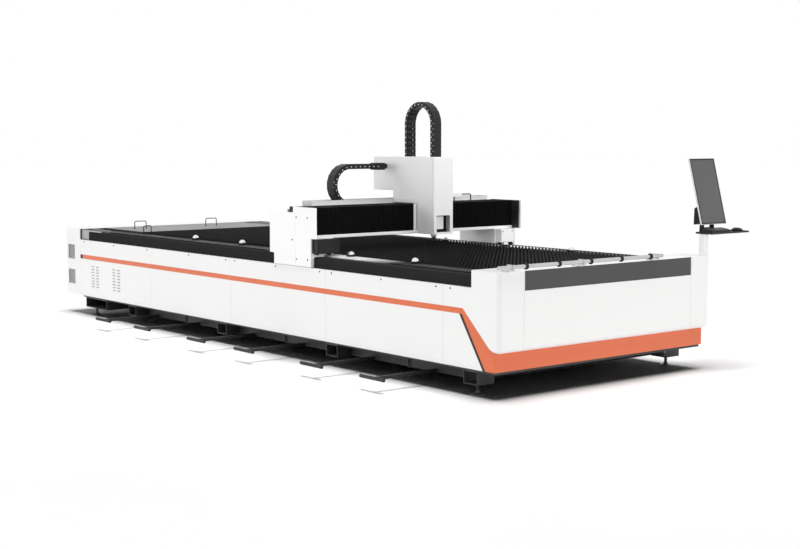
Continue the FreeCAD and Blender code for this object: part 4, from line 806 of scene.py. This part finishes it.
def makeLouvres():
    length, depth, height = louvreLook["size"]
    x, z = louvreLook["first"]
    places = [moved(x + column, -skirtLook["y"], z + louvreLook["pitch"] * row)
              for column in louvreLook["columns"] for row in range(louvreLook["rows"])]
    fin = addBlock("fin", (0, -depth, 0), (length, louvreLook["back"], height))
    movePoints(fin, lambda p: p.y < 0 and p.z > height / 2, y=depth - louvreLook["lip"])
    pickPoints(fin, lambda p: p.y < 0 and p.z < height / 2)
    bpy.ops.transform.resize(value=(louvreLook["taper"], 1, 1))
    doneEditing()
    finishPiece(rowOf(roundEdges(fin, 0.0008, 1), "skirtLouvres", places), "white_paint", "bed")
    inset, (front, foot, top) = louvreLook["inset"], louvreLook["gap"]
    gap = addBlock("gap", (inset, front, foot), (length - inset, louvreLook["back"], top))
    finishPiece(rowOf(roundEdges(gap, 0.0004, 1), "louvreGaps", places), "dark_paint", "bed")


def makeHousings():
    front = dressNode("front_housing", housingLook["round"])
    for seam in housingLook["seams"]:
        scoreJoint(front, "Y", seam, facing("X", 1, housingLook["x"]))
    finishPiece(front, "white_paint", "bed", ["front_housing"])
    finishNode("rear_housing", housingLook["round"])
    for node in ("front_band", "side_stripes"):
        finishNode(node, housingLook["bandRound"], 1)
    finishNode("front_panel", housingLook["panelRound"])


def addStrip(name, corners, near, far):  # a flat plate in XZ; its four corners run round from the first
    strip = addBlock(name, (50, near, 50), (51, far, 51))  # well away from where the corners go
    for (across, up), (x, z) in zip(((50, 50), (51, 50), (51, 51), (50, 51)), corners):
        movePoints(strip, lambda p: abs(p.x - across) < 0.01 and abs(p.z - up) < 0.01, x=x - across, z=z - up)
    return faceOutwards(strip)


def makeStripeCapsAndShade():  # the dark ends of the stripe, and a dark strip of painted shade along its diagonal where its recess is shadowed
    steps = joinAll("stripeSteps", [addStrip(name, stripeLook[name], *stripeLook["y"]) for name in ("cap", "step")])
    finishPiece(bothSides(roundEdges(steps, stripeLook["round"], 1), "stripeSteps"), "dark_paint", "bed")


def makeHead():
    head = dressNode("head_cover")
    low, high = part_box("head_cover")
    (x0, x1), (z0, z1), skin, area = headLook["solidSlots"]
    closeCuts(head, lambda face: x0 < face.center.x < x1 and z0 < face.center.z < z1 and face.area < area
              and (face.center.y < skin or face.center.y > high.y - skin))
    roundEdges(head, headLook["round"], 3)
    (x0, x1), (z0, z1) = headLook["door"]
    joint, gap = headLook["frontJoint"], headLook["jointWidth"]
    slots = [headLook["slotFirst"] + headLook["slotPitch"] * i for i in range(5)]
    sides = ((-1, low.y), (1, high.y))
    for sign, at in sides:
        flank = facing("Y", sign, at)
        scoreJoint(head, "X", joint, flank, gap, gap)
        door = outlineCells(head, lambda face: flank(face) and face.center.x < joint - gap / 2, (x0, x1), [(z0, z1)])
        pickFaces(head, door)
        fatten(-headLook["doorSunk"])
        bpy.ops.mesh.inset(thickness=headLook["doorGap"])
        fatten(headLook["doorSunk"])
        doneEditing()
        cells = outlineCells(head, door, headLook["slots"], [(z, z + headLook["slotHeight"]) for z in slots])
        fattenFaces(head, cells, -headLook["slotDepth"])
        for feet in headLook["feet"]:
            cells = outlineCells(head, lambda face: flank(face) and face.center.x < x0, feet, [headLook["footHeight"]])
            fattenFaces(head, cells, -headLook["footDepth"])
    finishPiece(head, "white_paint", "carriage", ["head_cover"])
    inset, foot = headLook["doorScrews"]
    spots = [((x, at, z), (0, sign, 0)) for sign, at in sides for x in (x0 + inset, x1 - inset)
             for z in (z0 + foot, (z0 + z1) / 2, z1 - inset)]
    inset, heights = headLook["frontScrews"]
    spots += [((high.x, y, z), (1, 0, 0)) for y in (low.y + inset, high.y - inset) for z in heights]
    addScrews("headScrews", spots, "white_paint", "carriage")


makeSides("side_skirt", skirtLook, "bed", "skirtScrews")
makeLouvres()
makeHousings()
makeStripeCapsAndShade()
makeSides("end_cover", coverLook, "gantry", "coverScrews")
makeHead()
print("sheet covers made")


# ventilation grilles: a thin frame round a stack of narrow blades

grilleLook = {"tall": 0.152, "blades": 19, "blade": 0.0035, "bladeShare": 0.62, "start": 0.2, "lean": 0.0035,
              "frame": 0.005, "proud": 0.0055, "screen": 0.001}


def addBars(x, z, bar, y):  # four bars round an opening in XZ
    (x0, x1), (z0, z1) = x, z
    return [addBlock("bar", (a, y[0], c), (b, y[1], d)) for a, b, c, d in
            ((x0, x1, z1 - bar, z1), (x0, x1, z0, z0 + bar), (x0, x0 + bar, z0 + bar, z1 - bar),
             (x1 - bar, x1, z0 + bar, z1 - bar))]


def makeGrilles():
    low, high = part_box("vent_grilles")
    width, tall, rim = high.x - low.x, grilleLook["tall"], grilleLook["frame"]
    proud, thin = grilleLook["proud"], grilleLook["screen"]
    pitch = (tall - 2 * rim) / grilleLook["blades"]
    blade = addBlock("blade", (0, -grilleLook["blade"], 0), (width, 0, pitch * grilleLook["bladeShare"]))
    movePoints(blade, lambda p: p.z > pitch * 0.3, y=grilleLook["lean"])
    spots = [moved(0, 0, rim + pitch * (i + grilleLook["start"])) for i in range(grilleLook["blades"])]
    near = joinAll("grille", [rowOf(blade, "blades", spots)] + addBars((0, width), (0, tall), rim, (-proud, 0)))
    back = addBlock("back", (thin, -thin, thin), (width - thin, 0, tall - thin))
    places = [moved(low.x, proud - high.y, z) for z in (low.z, high.z - tall)]
    for piece, name, slot in ((near, "ventGrilles", "bright_steel"), (back, "ventScreens", "grey_panel")):
        finishPiece(bothSides(rowOf(piece, name, places), name), slot, "bed", ["vent_grilles"])


makeGrilles()
print("ventilation grilles made")


# cable chains: one link modelled once, then set along a straight run, a half turn and a run back

chainSets = {
    "uprightChain": {"node": "upright_chain", "width": 0.09, "tall": 0.04, "radius": 0.168, "links": 23,
                     "ends": ("carriage", "cutting_head"), "middle": (1.0165, 0.105), "bend": 1.9105},
    "flatChain": {"node": "flat_chain", "width": 0.1, "tall": 0.043, "radius": 0.155, "links": 27,
                  "ends": ("gantry", "carriage"), "top": -0.128, "bend": -0.445, "height": 1.4005,
                  "hold": (1.26, 1.54)},
}
linkLook = {"wall": 0.007, "ring": 0.74, "overlap": 1.2, "lean": 0.0016, "play": 0.003, "step": 0.002,
            "taper": 0.8, "cover": 0.004, "round": 0.0018, "pin": 0.0052, "pinLength": 0.003, "pinOut": 0.0045}


def makeLink(pitch, tall, width):  # runs along X, its cover on top, its width along Y
    side, top = width / 2, tall / 2
    play, step, lean = linkLook["play"], linkLook["step"], linkLook["lean"]
    half, reach = pitch * linkLook["ring"] / 2, pitch * linkLook["overlap"] / 2
    ring = addBlock("ring", (-half, play - side, step - top), (half, side - play, top - play))
    hollowOut(ring, "X", linkLook["wall"])
    cover = addBlock("cover", (-reach, step - side, top - linkLook["cover"]), (reach, side - step, top))
    movePoints(cover, lambda p: p.x < 0, z=lean)
    parts = [cover]
    for y in (-side, side):
        plate = addBlock("plate", (-reach, y - play, -top), (reach, y + play, top))
        movePoints(plate, lambda p: p.x < 0, y=math.copysign(lean, y))
        scaleFaces(plate, endOn("X"), z=linkLook["taper"])
        parts.append(plate)
    return joinAll("link", [ring] + [roundEdges(part, linkLook["round"], 1) for part in parts])


def chainPlaces(look, first, second, base):  # in XZ: up the first run, round and down the second; cover outwards
    radius = look["radius"]
    pitch = (first + second + math.pi * radius) / look["links"]
    places = []
    for i in range(look["links"]):
        along = pitch * (i + 0.5)
        angle = min(max((along - first) / radius, 0), math.pi)
        up = min(along, first) + radius * math.sin(angle) - max(along - first - math.pi * radius, 0)
        places.append(base @ moved(-radius * math.cos(angle), 0, up) @ turnedBy(math.degrees(angle) - 90, "Y"))
    return pitch, places


def makeChain(name, first, second, base, start, end):
    look = chainSets[name]
    pitch, places = chainPlaces(look, first, second, base)
    link = makeLink(pitch, look["tall"], look["width"])
    pins = joinAll("pins", [addDrum("pin", (0, side * (look["width"] / 2 + linkLook["pinOut"]), 0), linkLook["pin"],
                                    linkLook["pinLength"], "Y", 12) for side in (-1, 1)])
    for piece, title, slot, replaced in ((link, name, "black_plastic", [look["node"]]),
                                         (pins, name + "Pins", "white_plastic", [])):
        row = rowOf(piece, title, places)
        finishPiece(row, slot, None, replaced)
        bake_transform(row)


def makeBlocks(name, corners, slot, body, edge, replaced=()):  # plain blocks as one piece
    blocks = [addBlock("block", low, high) for low, high in corners]
    finishPiece(joinAll(name, blocks), slot, body, replaced, edge)


def makeChains():
    look = chainSets["uprightChain"]
    foot, (x, y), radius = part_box(look["node"])[0].z, look["middle"], look["radius"]
    rise = look["bend"] - foot
    makeChain("uprightChain", rise, rise, moved(x, y, foot), (x - radius, y, foot), (x + radius, y, foot))
    look = chainSets["flatChain"]
    low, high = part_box(look["node"])
    middle, bend = (low.x + high.x) / 2, look["bend"]
    laid = Matrix(((0, 1, 0, middle), (0, 0, -1, look["top"]), (-1, 0, 0, look["height"]), (0, 0, 0, 1)))
    makeChain("flatChain", look["top"] - bend, high.y - bend, laid, *[(middle, bend, z) for z in look["hold"]])
    makeBlocks("chainEnd", [((low.x - 0.004, -0.158, 1.5255), (high.x + 0.004, -0.076, 1.5855))],
               "black_plastic", "carriage", (0.004, 2))
    makeBlocks("chainArm", [((low.x + 0.002, -0.078, 1.536), (low.x + 0.032, 0.001, 1.576))],
               "black_plastic", "carriage", (0.002, 2))


makeChains()
print("cable chains made")


# operator's screen: a thin white shell, a dark bezel and the screen, modelled upright and then leant back

monitorLook = {"size": (0.3, 0.525), "rim": 0.013, "backRim": 0.022, "bulge": 0.021, "taper": (1, 0.86, 0.9),
               "dish": (0.07, 0.002), "edge": 0.0028, "edgeDepth": 0.0015, "bezel": 0.0105, "bezelDepth": 0.0022,
               "bezelX": (-0.0035, 0.0005), "glassX": (-0.0017, -0.0009), "foot": (3.261, 1.174, 1.1316), "lean": 15,
               "hinge": (1.121, 1.227), "hingeSide": ((3.1, 1.121), (3.236, 1.143), (3.19, 1.29), (3.104, 1.25)),
               "block": ((3.17, 1.113, 1.06), (3.209, 1.235, 1.104))}


def makeMonitor():
    wide, tall = monitorLook["size"]
    half, edge = wide / 2, monitorLook["edge"]
    inset = edge + monitorLook["bezel"]
    shell = addBlock("monitorShell", (-monitorLook["rim"], -half, 0), (0, half, tall))
    pickFaces(shell, facing("X", -1))
    bpy.ops.mesh.inset(thickness=monitorLook["backRim"])
    push(x=-monitorLook["bulge"])
    bpy.ops.transform.resize(value=monitorLook["taper"])
    rim, depth = monitorLook["dish"]
    bpy.ops.mesh.inset(thickness=rim)
    push(x=depth)
    doneEditing()
    insetFaces(shell, facing("X", 1), edge, x=-monitorLook["edgeDepth"])
    bezel, glass = [addBlock(name, (monitorLook[x][0], rim - half, rim), (monitorLook[x][1], half - rim, tall - rim))
                    for name, x, rim in (("monitorBezel", "bezelX", edge), ("screenGlass", "glassX", inset))]
    insetFaces(bezel, facing("X", 1), monitorLook["bezel"], x=-monitorLook["bezelDepth"])
    place = moved(*monitorLook["foot"]) @ turnedBy(-monitorLook["lean"], "Y")
    for piece, slot, replaced, rounded in ((shell, "white_plastic", ["monitor_case"], (0.002, 3)),
                                           (bezel, "black_plastic", [], (0.0006, 1)),
                                           (glass, "screen", ["monitor_screen"], None)):
        piece.data.transform(place)
        finishPiece(piece, slot, "monitor", replaced, rounded)
    hinge = addStrip("screenHinge", monitorLook["hingeSide"], *monitorLook["hinge"])
    finishPiece(hinge, "black_plastic", "monitor", edge=(0.004, 3))
    block = addBlock("forkBlock", *monitorLook["block"])
    scaleFaces(block, facing("Z", 1), x=0.8, y=0.96)
    finishPiece(block, "black_plastic", "bed", edge=(0.003, 3))


makeMonitor()
print("operator's screen made")


# pieces that keep the form of their CAD piece: their edges are rounded as folded sheet, castings and profiles are

dressed = {
    "bed_frame": 0.003, "drawer_runners": 0.0015, "side_decks": 0.002, "slat_ledges": 0.001, "side_plates": 0.001,
    "bed_rails": 0.0012, "bed_racks": 0.0005, "roller_brackets": 0.0012, "gantry_leg_near": 0.004,
    "gantry_leg_far": 0.004, "gantry_beam": 0.004, "beam_rails": 0.001, "beam_rack": 0.0005, "cable_tray": 0.0012,
    "carriage_plate": 0.002, "z_rail": 0.001, "z_slide": 0.002, "optics_block": 0.003, "console_post": 0.0025,
    "console_tray": 0.0015, "monitor_fork": 0.0012, "lens_barrel": 0.0008, "nozzle": 0.0004,
}
drawers = [f"slag_drawer_{i}" for i in range(1, 7)]
dressed.update({node: 0.0015 for node in drawers})
ownFinish = {"bed_frame": "framePaint", "side_decks": "deckSteel", "side_plates": "platePaint",
             "cable_tray": "trayPaint"}
for node, width in dressed.items():
    finishNode(node, width, finish=ownFinish.get(node))
print("plain pieces dressed")


# bed fittings: rear lid with its dark rim and rod handles, window trims, slag guides and feet

lidLook = {"fold": 0.0022, "panel": (0.035, 0.003), "sunk": 0.0015, "joints": (-0.28, 0.28),
           "jointSize": (0.003, 0.002), "rim": 0.004, "rimTop": 0.0008, "rod": 0.0045, "corner": 0.016,
           "flange": (0.009, 0.003),
           "handles": ((-2.653, -0.595, 0.14, 0.078), (-2.653, 0.245, 0.14, 0.078), (-2.208, -0.76, 0.094, 0.058))}
trimLook = {"x": (-3.0015, -2.5605), "z": (0.7655, 0.8735), "bar": 0.005, "y": (-1.0945, -1.092),
            "plates": (((-3.0015, -1.0805, 0.7655), (-2.8385, -1.0785, 0.8725)),
                       ((-2.8385, -1.0805, 0.8525), (-2.5605, -1.0785, 0.8725)))}
guideLook = {"ends": 0.02, "lap": 0.006, "y": 0.92, "z": (0.1775, 0.1805), "rim": 0.004, "depth": 0.001}
footLook = {"x": (2.9445, -2.8465), "y": (-1.004, 1.004), "thread": (0.0108, 0.0125), "threadFoot": 0.03,
            "threadPitch": 0.0018, "turns": 22, "tip": (0.0115, 0.079),
            "sole": ((0.045, 0), (0.045, 0.006), (0.041, 0.0095), (0.02, 0.016), (0.017, 0.02), (0.017, 0.028),
                     (0.0108, 0.029)),
            "nut": ((0.0205, 0.0672), (0.0215, 0.0682), (0.0215, 0.0772), (0.0205, 0.0782)),
            "plate": ((-0.05, -0.05, 0.0782), (0.05, 0.05, 0.0845))}


def turned(name, profile, sides):  # (radius, height) pairs from the foot up, round Z
    piece = addDisc(name, (0, 0, profile[0][1]), profile[0][0], sides)
    pickFaces(piece)
    for (width, height), (nextWidth, nextHeight) in zip(profile, profile[1:]):
        push(z=nextHeight - height)
        bpy.ops.transform.resize(value=(nextWidth / width, nextWidth / width, 1))
    doneEditing()
    return faceOutwards(piece)


def bentRod(name, radius, leg, span, corner, sides=10, steps=5):  # an upside-down U in YZ, standing on XY
    rod = addDisc(name, (0, -span / 2, 0), radius, sides)
    pickFaces(rod)
    push(z=leg - corner)
    for middle, run in ((corner - span / 2, {"y": span - 2 * corner}), (span / 2 - corner, {"z": corner - leg})):
        for _ in range(steps):
            push()
            bpy.ops.transform.rotate(value=math.radians(90 / steps), orient_axis="X", orient_type="GLOBAL",
                                     center_override=(0, middle, leg - corner))
        push(**run)
    doneEditing()
    return faceOutwards(rod)


def makeLid():
    low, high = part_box("rear_lid")
    lid = addBlock("rearLid", low, high)
    pickFaces(lid, facing("Z", 1))
    for rim in lidLook["panel"]:
        bpy.ops.mesh.inset(thickness=rim)
    bpy.ops.transform.translate(value=(0, 0, -lidLook["sunk"]))
    doneEditing()
    for y in lidLook["joints"]:
        scoreJoint(lid, "Y", y, facing("Z", 1), *lidLook["jointSize"])
    finishPiece(lid, "grey_panel", "bed", ["rear_lid"], (lidLook["fold"], 2), finish="lidPaint")
    rim, top = lidLook["rim"], high.z + lidLook["rimTop"]
    makeBlocks("lidRims", (((low.x, low.y - rim, low.z), (high.x, low.y, top)),
                           ((low.x, high.y, low.z), (high.x, high.y + rim, top)),
                           ((high.x, low.y - rim, low.z), (high.x + rim, high.y + rim, top))),
               "dark_paint", "bed", (0.0012, 2))
    handles = []
    radius, thick = lidLook["flange"]
    for x, y, span, leg in lidLook["handles"]:
        half = span / 2 - lidLook["rod"]
        rod = bentRod("handle", lidLook["rod"], leg, 2 * half, lidLook["corner"])
        rod.data.transform(moved(x, y, high.z))
        handles += [rod] + [addDrum("flange", (x, y + side * half, high.z + thick / 2), radius, thick, sides=16)
                            for side in (-1, 1)]
    finishPiece(joinAll("lidHandles", handles), "dark_paint", "bed", ["lid_handles"], angle=50)


def makeTrims():  # the dark outline of the rear side windows, and the plates in them
    bars = joinAll("windowTrims", addBars(trimLook["x"], trimLook["z"], trimLook["bar"], trimLook["y"]))
    finishPiece(bothSides(bars, "windowTrims"), "dark_paint", "bed")
    plates = joinAll("windowPlates", [addBlock("plate", *corners) for corners in trimLook["plates"]])
    finishPiece(bothSides(plates, "windowPlates"), "grey_panel", "bed", edge=(0.0005, 1), finish="platePaint")


def makeSlagGuides():  # dark sheets that close the gaps beside the pans
    low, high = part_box("bed_frame")
    edges = sorted([corner.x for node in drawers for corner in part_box(node)]
                   + [low.x + guideLook["ends"], high.x - guideLook["ends"]])
    lap, y, (z0, z1) = guideLook["lap"], guideLook["y"], guideLook["z"]
    sheets = joinAll("slagGuides", [addBlock("sheet", (x0 - lap, -y, z0), (x1 + lap, y, z1))
                                    for x0, x1 in zip(edges[::2], edges[1::2])])
    insetFaces(sheets, facing("Z", 1), guideLook["rim"], z=-guideLook["depth"])
    finishPiece(sheets, "dark_paint", "bed")


def makeFeet():
    thread = [(footLook["thread"][i % 2], footLook["threadFoot"] + footLook["threadPitch"] * i)
              for i in range(footLook["turns"])]
    foot = turned("foot", [*footLook["sole"], *thread, footLook["tip"]], 36)
    foot = joinAll("foot", [foot, turned("nut", footLook["nut"], 6)])
    plate = roundEdges(addBlock("plate", *footLook["plate"]), 0.001, 1)
    places = [moved(x, y, 0) for x in footLook["x"] for y in footLook["y"]]
    finishPiece(rowOf(foot, "levellingFeet", places), "bright_steel", "bed", ["levelling_feet"], finish="dullSteel")
    finishPiece(rowOf(plate, "footPlates", places), "dark_paint", "bed")


makeLid()
makeTrims()
makeSlagGuides()
makeFeet()
print("bed fittings made")


# gantry fittings: boxed motors, bumpers, end flanges, the carriage's hood frames and its sensor arm

motorLook = {"x": (1.0825, 1.1545), "z": (0.881, 0.9935), "near": (-1.099, -0.878), "far": (0.894, 1.044),
             "lap": 0.001, "rim": 0.007, "proud": 0.0025, "joint": (0.02, 0.002, 0.0015), "round": 0.0018,
             "dot": (0.005, 0.003), "dotInset": (0.022, 0.016)}
bumperLook = {"spots": ((-0.947, 0.877, "ball"), (-1.064, 0.885, "dome"), (0.938, 0.869, "dome"),
                        (1.057, 0.863, "ball")),
              "stem": (1.089, 0.009, 0.02, 20), "plate": (1.0838, 0.0165, 0.004, 24), "ball": (1.103, 0.0195),
              "domeX": 1.092, "dome": ((0.012, 0), (0.018, 0.003), (0.019, 0.01), (0.016, 0.018), (0.01, 0.023),
                                       (0.003, 0.025))}
flangeLook = {"corners": ((0.79, -1.112, 0.999), (1.1475, -1.1035, 1.2465)), "cut": 0.025}
hoodFrame = {"x": (1.062, 1.0645), "z": (1.0185, 1.2475), "y": ((-0.035, -0.002), (0.212, 0.245))}
skirtPlate = {"x": (0.7515, 1.076), "z": (1.2497, 1.29), "deep": 0.003, "proud": 0.0004}
trayEnd = {"corners": ((0.6085, 0.855, 1.2205), (0.7465, 1.1, 1.2785)), "sheet": 0.002, "floor": -0.054}
sensorLook = {"arm": ((1.026, 0.2085, 1.292), (1.054, 0.516, 1.322)), "armEnd": (0.003, -0.004),
              "foot": ((1.014, 0.2085, 1.283), (1.066, 0.2125, 1.331)),
              "rod": (0.0052, 0.055, 0.19, 0.012), "rodAt": (1.04, 0.535, 1.2565)}
windowLook = {"block": ((1.225, 0.036, 1.037), (1.262, 0.125, 1.143)), "blockFace": (0.004, -0.0015),
              "back": ((1.2115, 0.012, 0.999), (1.2155, 0.198, 1.165)),
              "sill": ((1.2155, 0.012, 0.999), (1.266, 0.198, 1.006))}


def makeMotors():
    (x0, x1), (z0, z1) = motorLook["x"], motorLook["z"]
    at, *size = motorLook["joint"]
    for name, (y0, y1), slot, finish in (("motorBoxNear", motorLook["near"], "dark_paint", "motorPaint"),
                                         ("motorBoxFar", motorLook["far"], "white_paint", None)):
        box = addBlock(name, (x0 - motorLook["lap"], y0, z0), (x1, y1, z1))
        insetFaces(box, facing("X", 1), motorLook["rim"], x=motorLook["proud"])
        scoreJoint(box, "X", x0 + at, lambda face: abs(face.normal.x) < 0.1, *size)
        finishPiece(box, slot, "gantry", ["drive_motors"], (motorLook["round"], 2), finish=finish)
    (y0, y1), (across, down) = motorLook["far"], motorLook["dotInset"]
    dots = [addDrum("dot", (x1 + motorLook["proud"], y, z1 - down), *motorLook["dot"], "X", 14)
            for y in (y0 + across, y1 - across)]
    finishPiece(joinAll("motorScrews", dots), "dark_paint", "gantry")


def makeBumpers():
    parts = []
    for y, z, kind in bumperLook["spots"]:
        for part in ("stem", "plate"):
            x, radius, length, sides = bumperLook[part]
            parts.append(addDrum(part, (x, y, z), radius, length, "X", sides))
        x, radius = bumperLook["ball"]
        pad = addBall("pad", (x, y, z), radius) if kind == "ball" else turned("pad", bumperLook["dome"], 24)
        if kind == "dome":
            pad.data.transform(moved(bumperLook["domeX"], y, z) @ turnedBy(90, "Y"))
        parts.append(pad)
    finishPiece(joinAll("gantryBumpers", parts), "black_rubber", "gantry", ["bumpers"], angle=50)


def makeFlanges():
    flange = addBlock("beamFlanges", *flangeLook["corners"])
    pickPoints(flange, lambda p: p.x > 1.1 and p.z > 1.1)
    bpy.ops.mesh.bevel(offset=flangeLook["cut"], segments=4, affect="VERTICES")
    doneEditing()
    finishPiece(bothSides(roundEdges(flange, 0.001, 1), "beamFlanges"), "dark_paint", "gantry")


def makeHoodFrames():  # light strips beside the head, and the sides of its cover that reach down to the hoods
    (x0, x1), (z0, z1) = hoodFrame["x"], hoodFrame["z"]
    makeBlocks("hoodFrames", [((x0, y0, z0), (x1, y1, z1)) for y0, y1 in hoodFrame["y"]], "white_paint", "carriage",
               (0.0008, 1))
    low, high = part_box("head_cover")
    (x0, x1), (z0, z1), deep, proud = [skirtPlate[key] for key in ("x", "z", "deep", "proud")]
    makeBlocks("headSkirts", [((x0, y, z0), (x1, y + deep, z1)) for y in (low.y - proud, high.y + proud - deep)],
               "white_paint", "carriage", (0.0008, 1))


def makeTrayEnd():  # the cable tray runs on to the far end of the beam
    end = addBlock("trayEnd", *trayEnd["corners"])
    insetFaces(end, facing("Z", 1), trayEnd["sheet"], z=trayEnd["floor"])
    finishPiece(end, slotOf["cable_tray"], "gantry", edge=(0.0008, 1), finish="trayPaint")


def makeSensorArm():
    arm = addBlock("sensorArm", *sensorLook["arm"])
    rim, depth = sensorLook["armEnd"]
    insetFaces(arm, facing("Y", 1), rim, y=depth)
    foot = addBlock("foot", *sensorLook["foot"])
    arm = joinAll("sensorArm", [roundEdges(arm, 0.0012), roundEdges(foot, 0.0008, 1)])
    finishPiece(arm, "white_paint", "carriage")
    rod = bentRod("sensorRod", *sensorLook["rod"])
    rod.data.transform(moved(*sensorLook["rodAt"]))
    finishPiece(rod, "black_plastic", "carriage", angle=50)


def makeHeadWindow():
    block = addBlock("windowBlock", *windowLook["block"])
    rim, depth = windowLook["blockFace"]
    insetFaces(block, facing("X", 1), rim, x=depth)
    finishPiece(block, "white_plastic", "cutting_head", edge=(0.002, 2))
    makeBlocks("windowBack", [windowLook["back"], windowLook["sill"]], "black_plastic", "carriage", (0.0012, 1))


makeMotors()
makeBumpers()
makeFlanges()
makeHoodFrames()
makeTrayEnd()
makeSensorArm()
makeHeadWindow()
print("gantry fittings made")


# operator's tray: keyboard with its keys, mouse with its wheel

keyLook = {"rows": 5, "columns": 15, "gap": 0.0022, "height": 0.0045, "edge": 0.006, "slope": 0.012, "sunk": 0.0005,
           "taper": (0.8, 0.82), "space": (4, 5), "spaceTaper": (0.8, 0.97), "round": 0.0007}
mouseLook = {"flat": -0.18, "foot": -0.3, "sole": 0.94, "tall": 0.8, "wheel": (0.009, 0.007),
             "wheelAt": (0.028, 0.0085)}


def addKey(deep, wide, taper):
    gap = keyLook["gap"]
    key = addBlock("key", (0, 0, 0), (deep - gap, wide - gap, keyLook["height"]))
    scaleFaces(key, facing("Z", 1), *taper)
    return roundEdges(key, keyLook["round"], 1)


def makeKeyboard():
    base = dressNode("keyboard", 0.0025, 3)
    base.name = "keyboardBase"
    finishPiece(base, "black_plastic", "bed", ["keyboard"])
    low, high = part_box("keyboard")
    rows, columns, edge = keyLook["rows"], keyLook["columns"], keyLook["edge"]
    wide, deep = (high.y - low.y - 2 * edge) / columns, (high.x - low.x - 2 * edge) / rows
    lean = Matrix.Rotation(math.atan2(keyLook["slope"], high.x - low.x), 4, "Y")
    place = moved(low.x, low.y, high.z) @ lean @ moved(edge, edge, -keyLook["sunk"])
    start, span = keyLook["space"]  # the space bar takes these keys' place in the last row
    places = [place @ moved(row * deep, column * wide, 0) for row in range(rows) for column in range(columns)
              if row < rows - 1 or not start <= column < start + span]
    keys = rowOf(addKey(deep, wide, keyLook["taper"]), "keys", places)
    space = addKey(deep, span * wide, keyLook["spaceTaper"])
    space.data.transform(place @ moved((rows - 1) * deep, start * wide, 0))
    finishPiece(joinAll("keyboardKeys", [keys, space]), "grey_panel", "bed")


def makeMouse():
    low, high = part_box("mouse")
    middle, size, foot, sole = (low + high) / 2, high - low, mouseLook["foot"], mouseLook["sole"]
    dropSelection()
    bpy.ops.mesh.primitive_uv_sphere_add(segments=32, ring_count=16, radius=0.5, location=(0, 0, 0))
    mouse = settle("mouseShell")
    pickPoints(mouse, lambda p: p.z < mouseLook["flat"])
    bpy.ops.transform.resize(value=(sole, sole, 0), center_override=(0, 0, foot))
    doneEditing()
    faceOutwards(mouse)
    mouse.data.transform(moved(middle.x, middle.y, low.z)
                         @ Matrix.Diagonal((size.x, size.y, size.z / mouseLook["tall"], 1)) @ moved(0, 0, -foot))
    finishPiece(mouse, "black_plastic", "bed", ["mouse"], angle=60)
    forward, down = mouseLook["wheelAt"]
    wheel = addDrum("mouseWheel", (low.x + forward, middle.y, high.z - down), *mouseLook["wheel"], "Y", 24)
    finishPiece(wheel, "black_rubber", "bed", edge=(0.0015, 2))


makeKeyboard()
makeMouse()
print("operator's tray made")
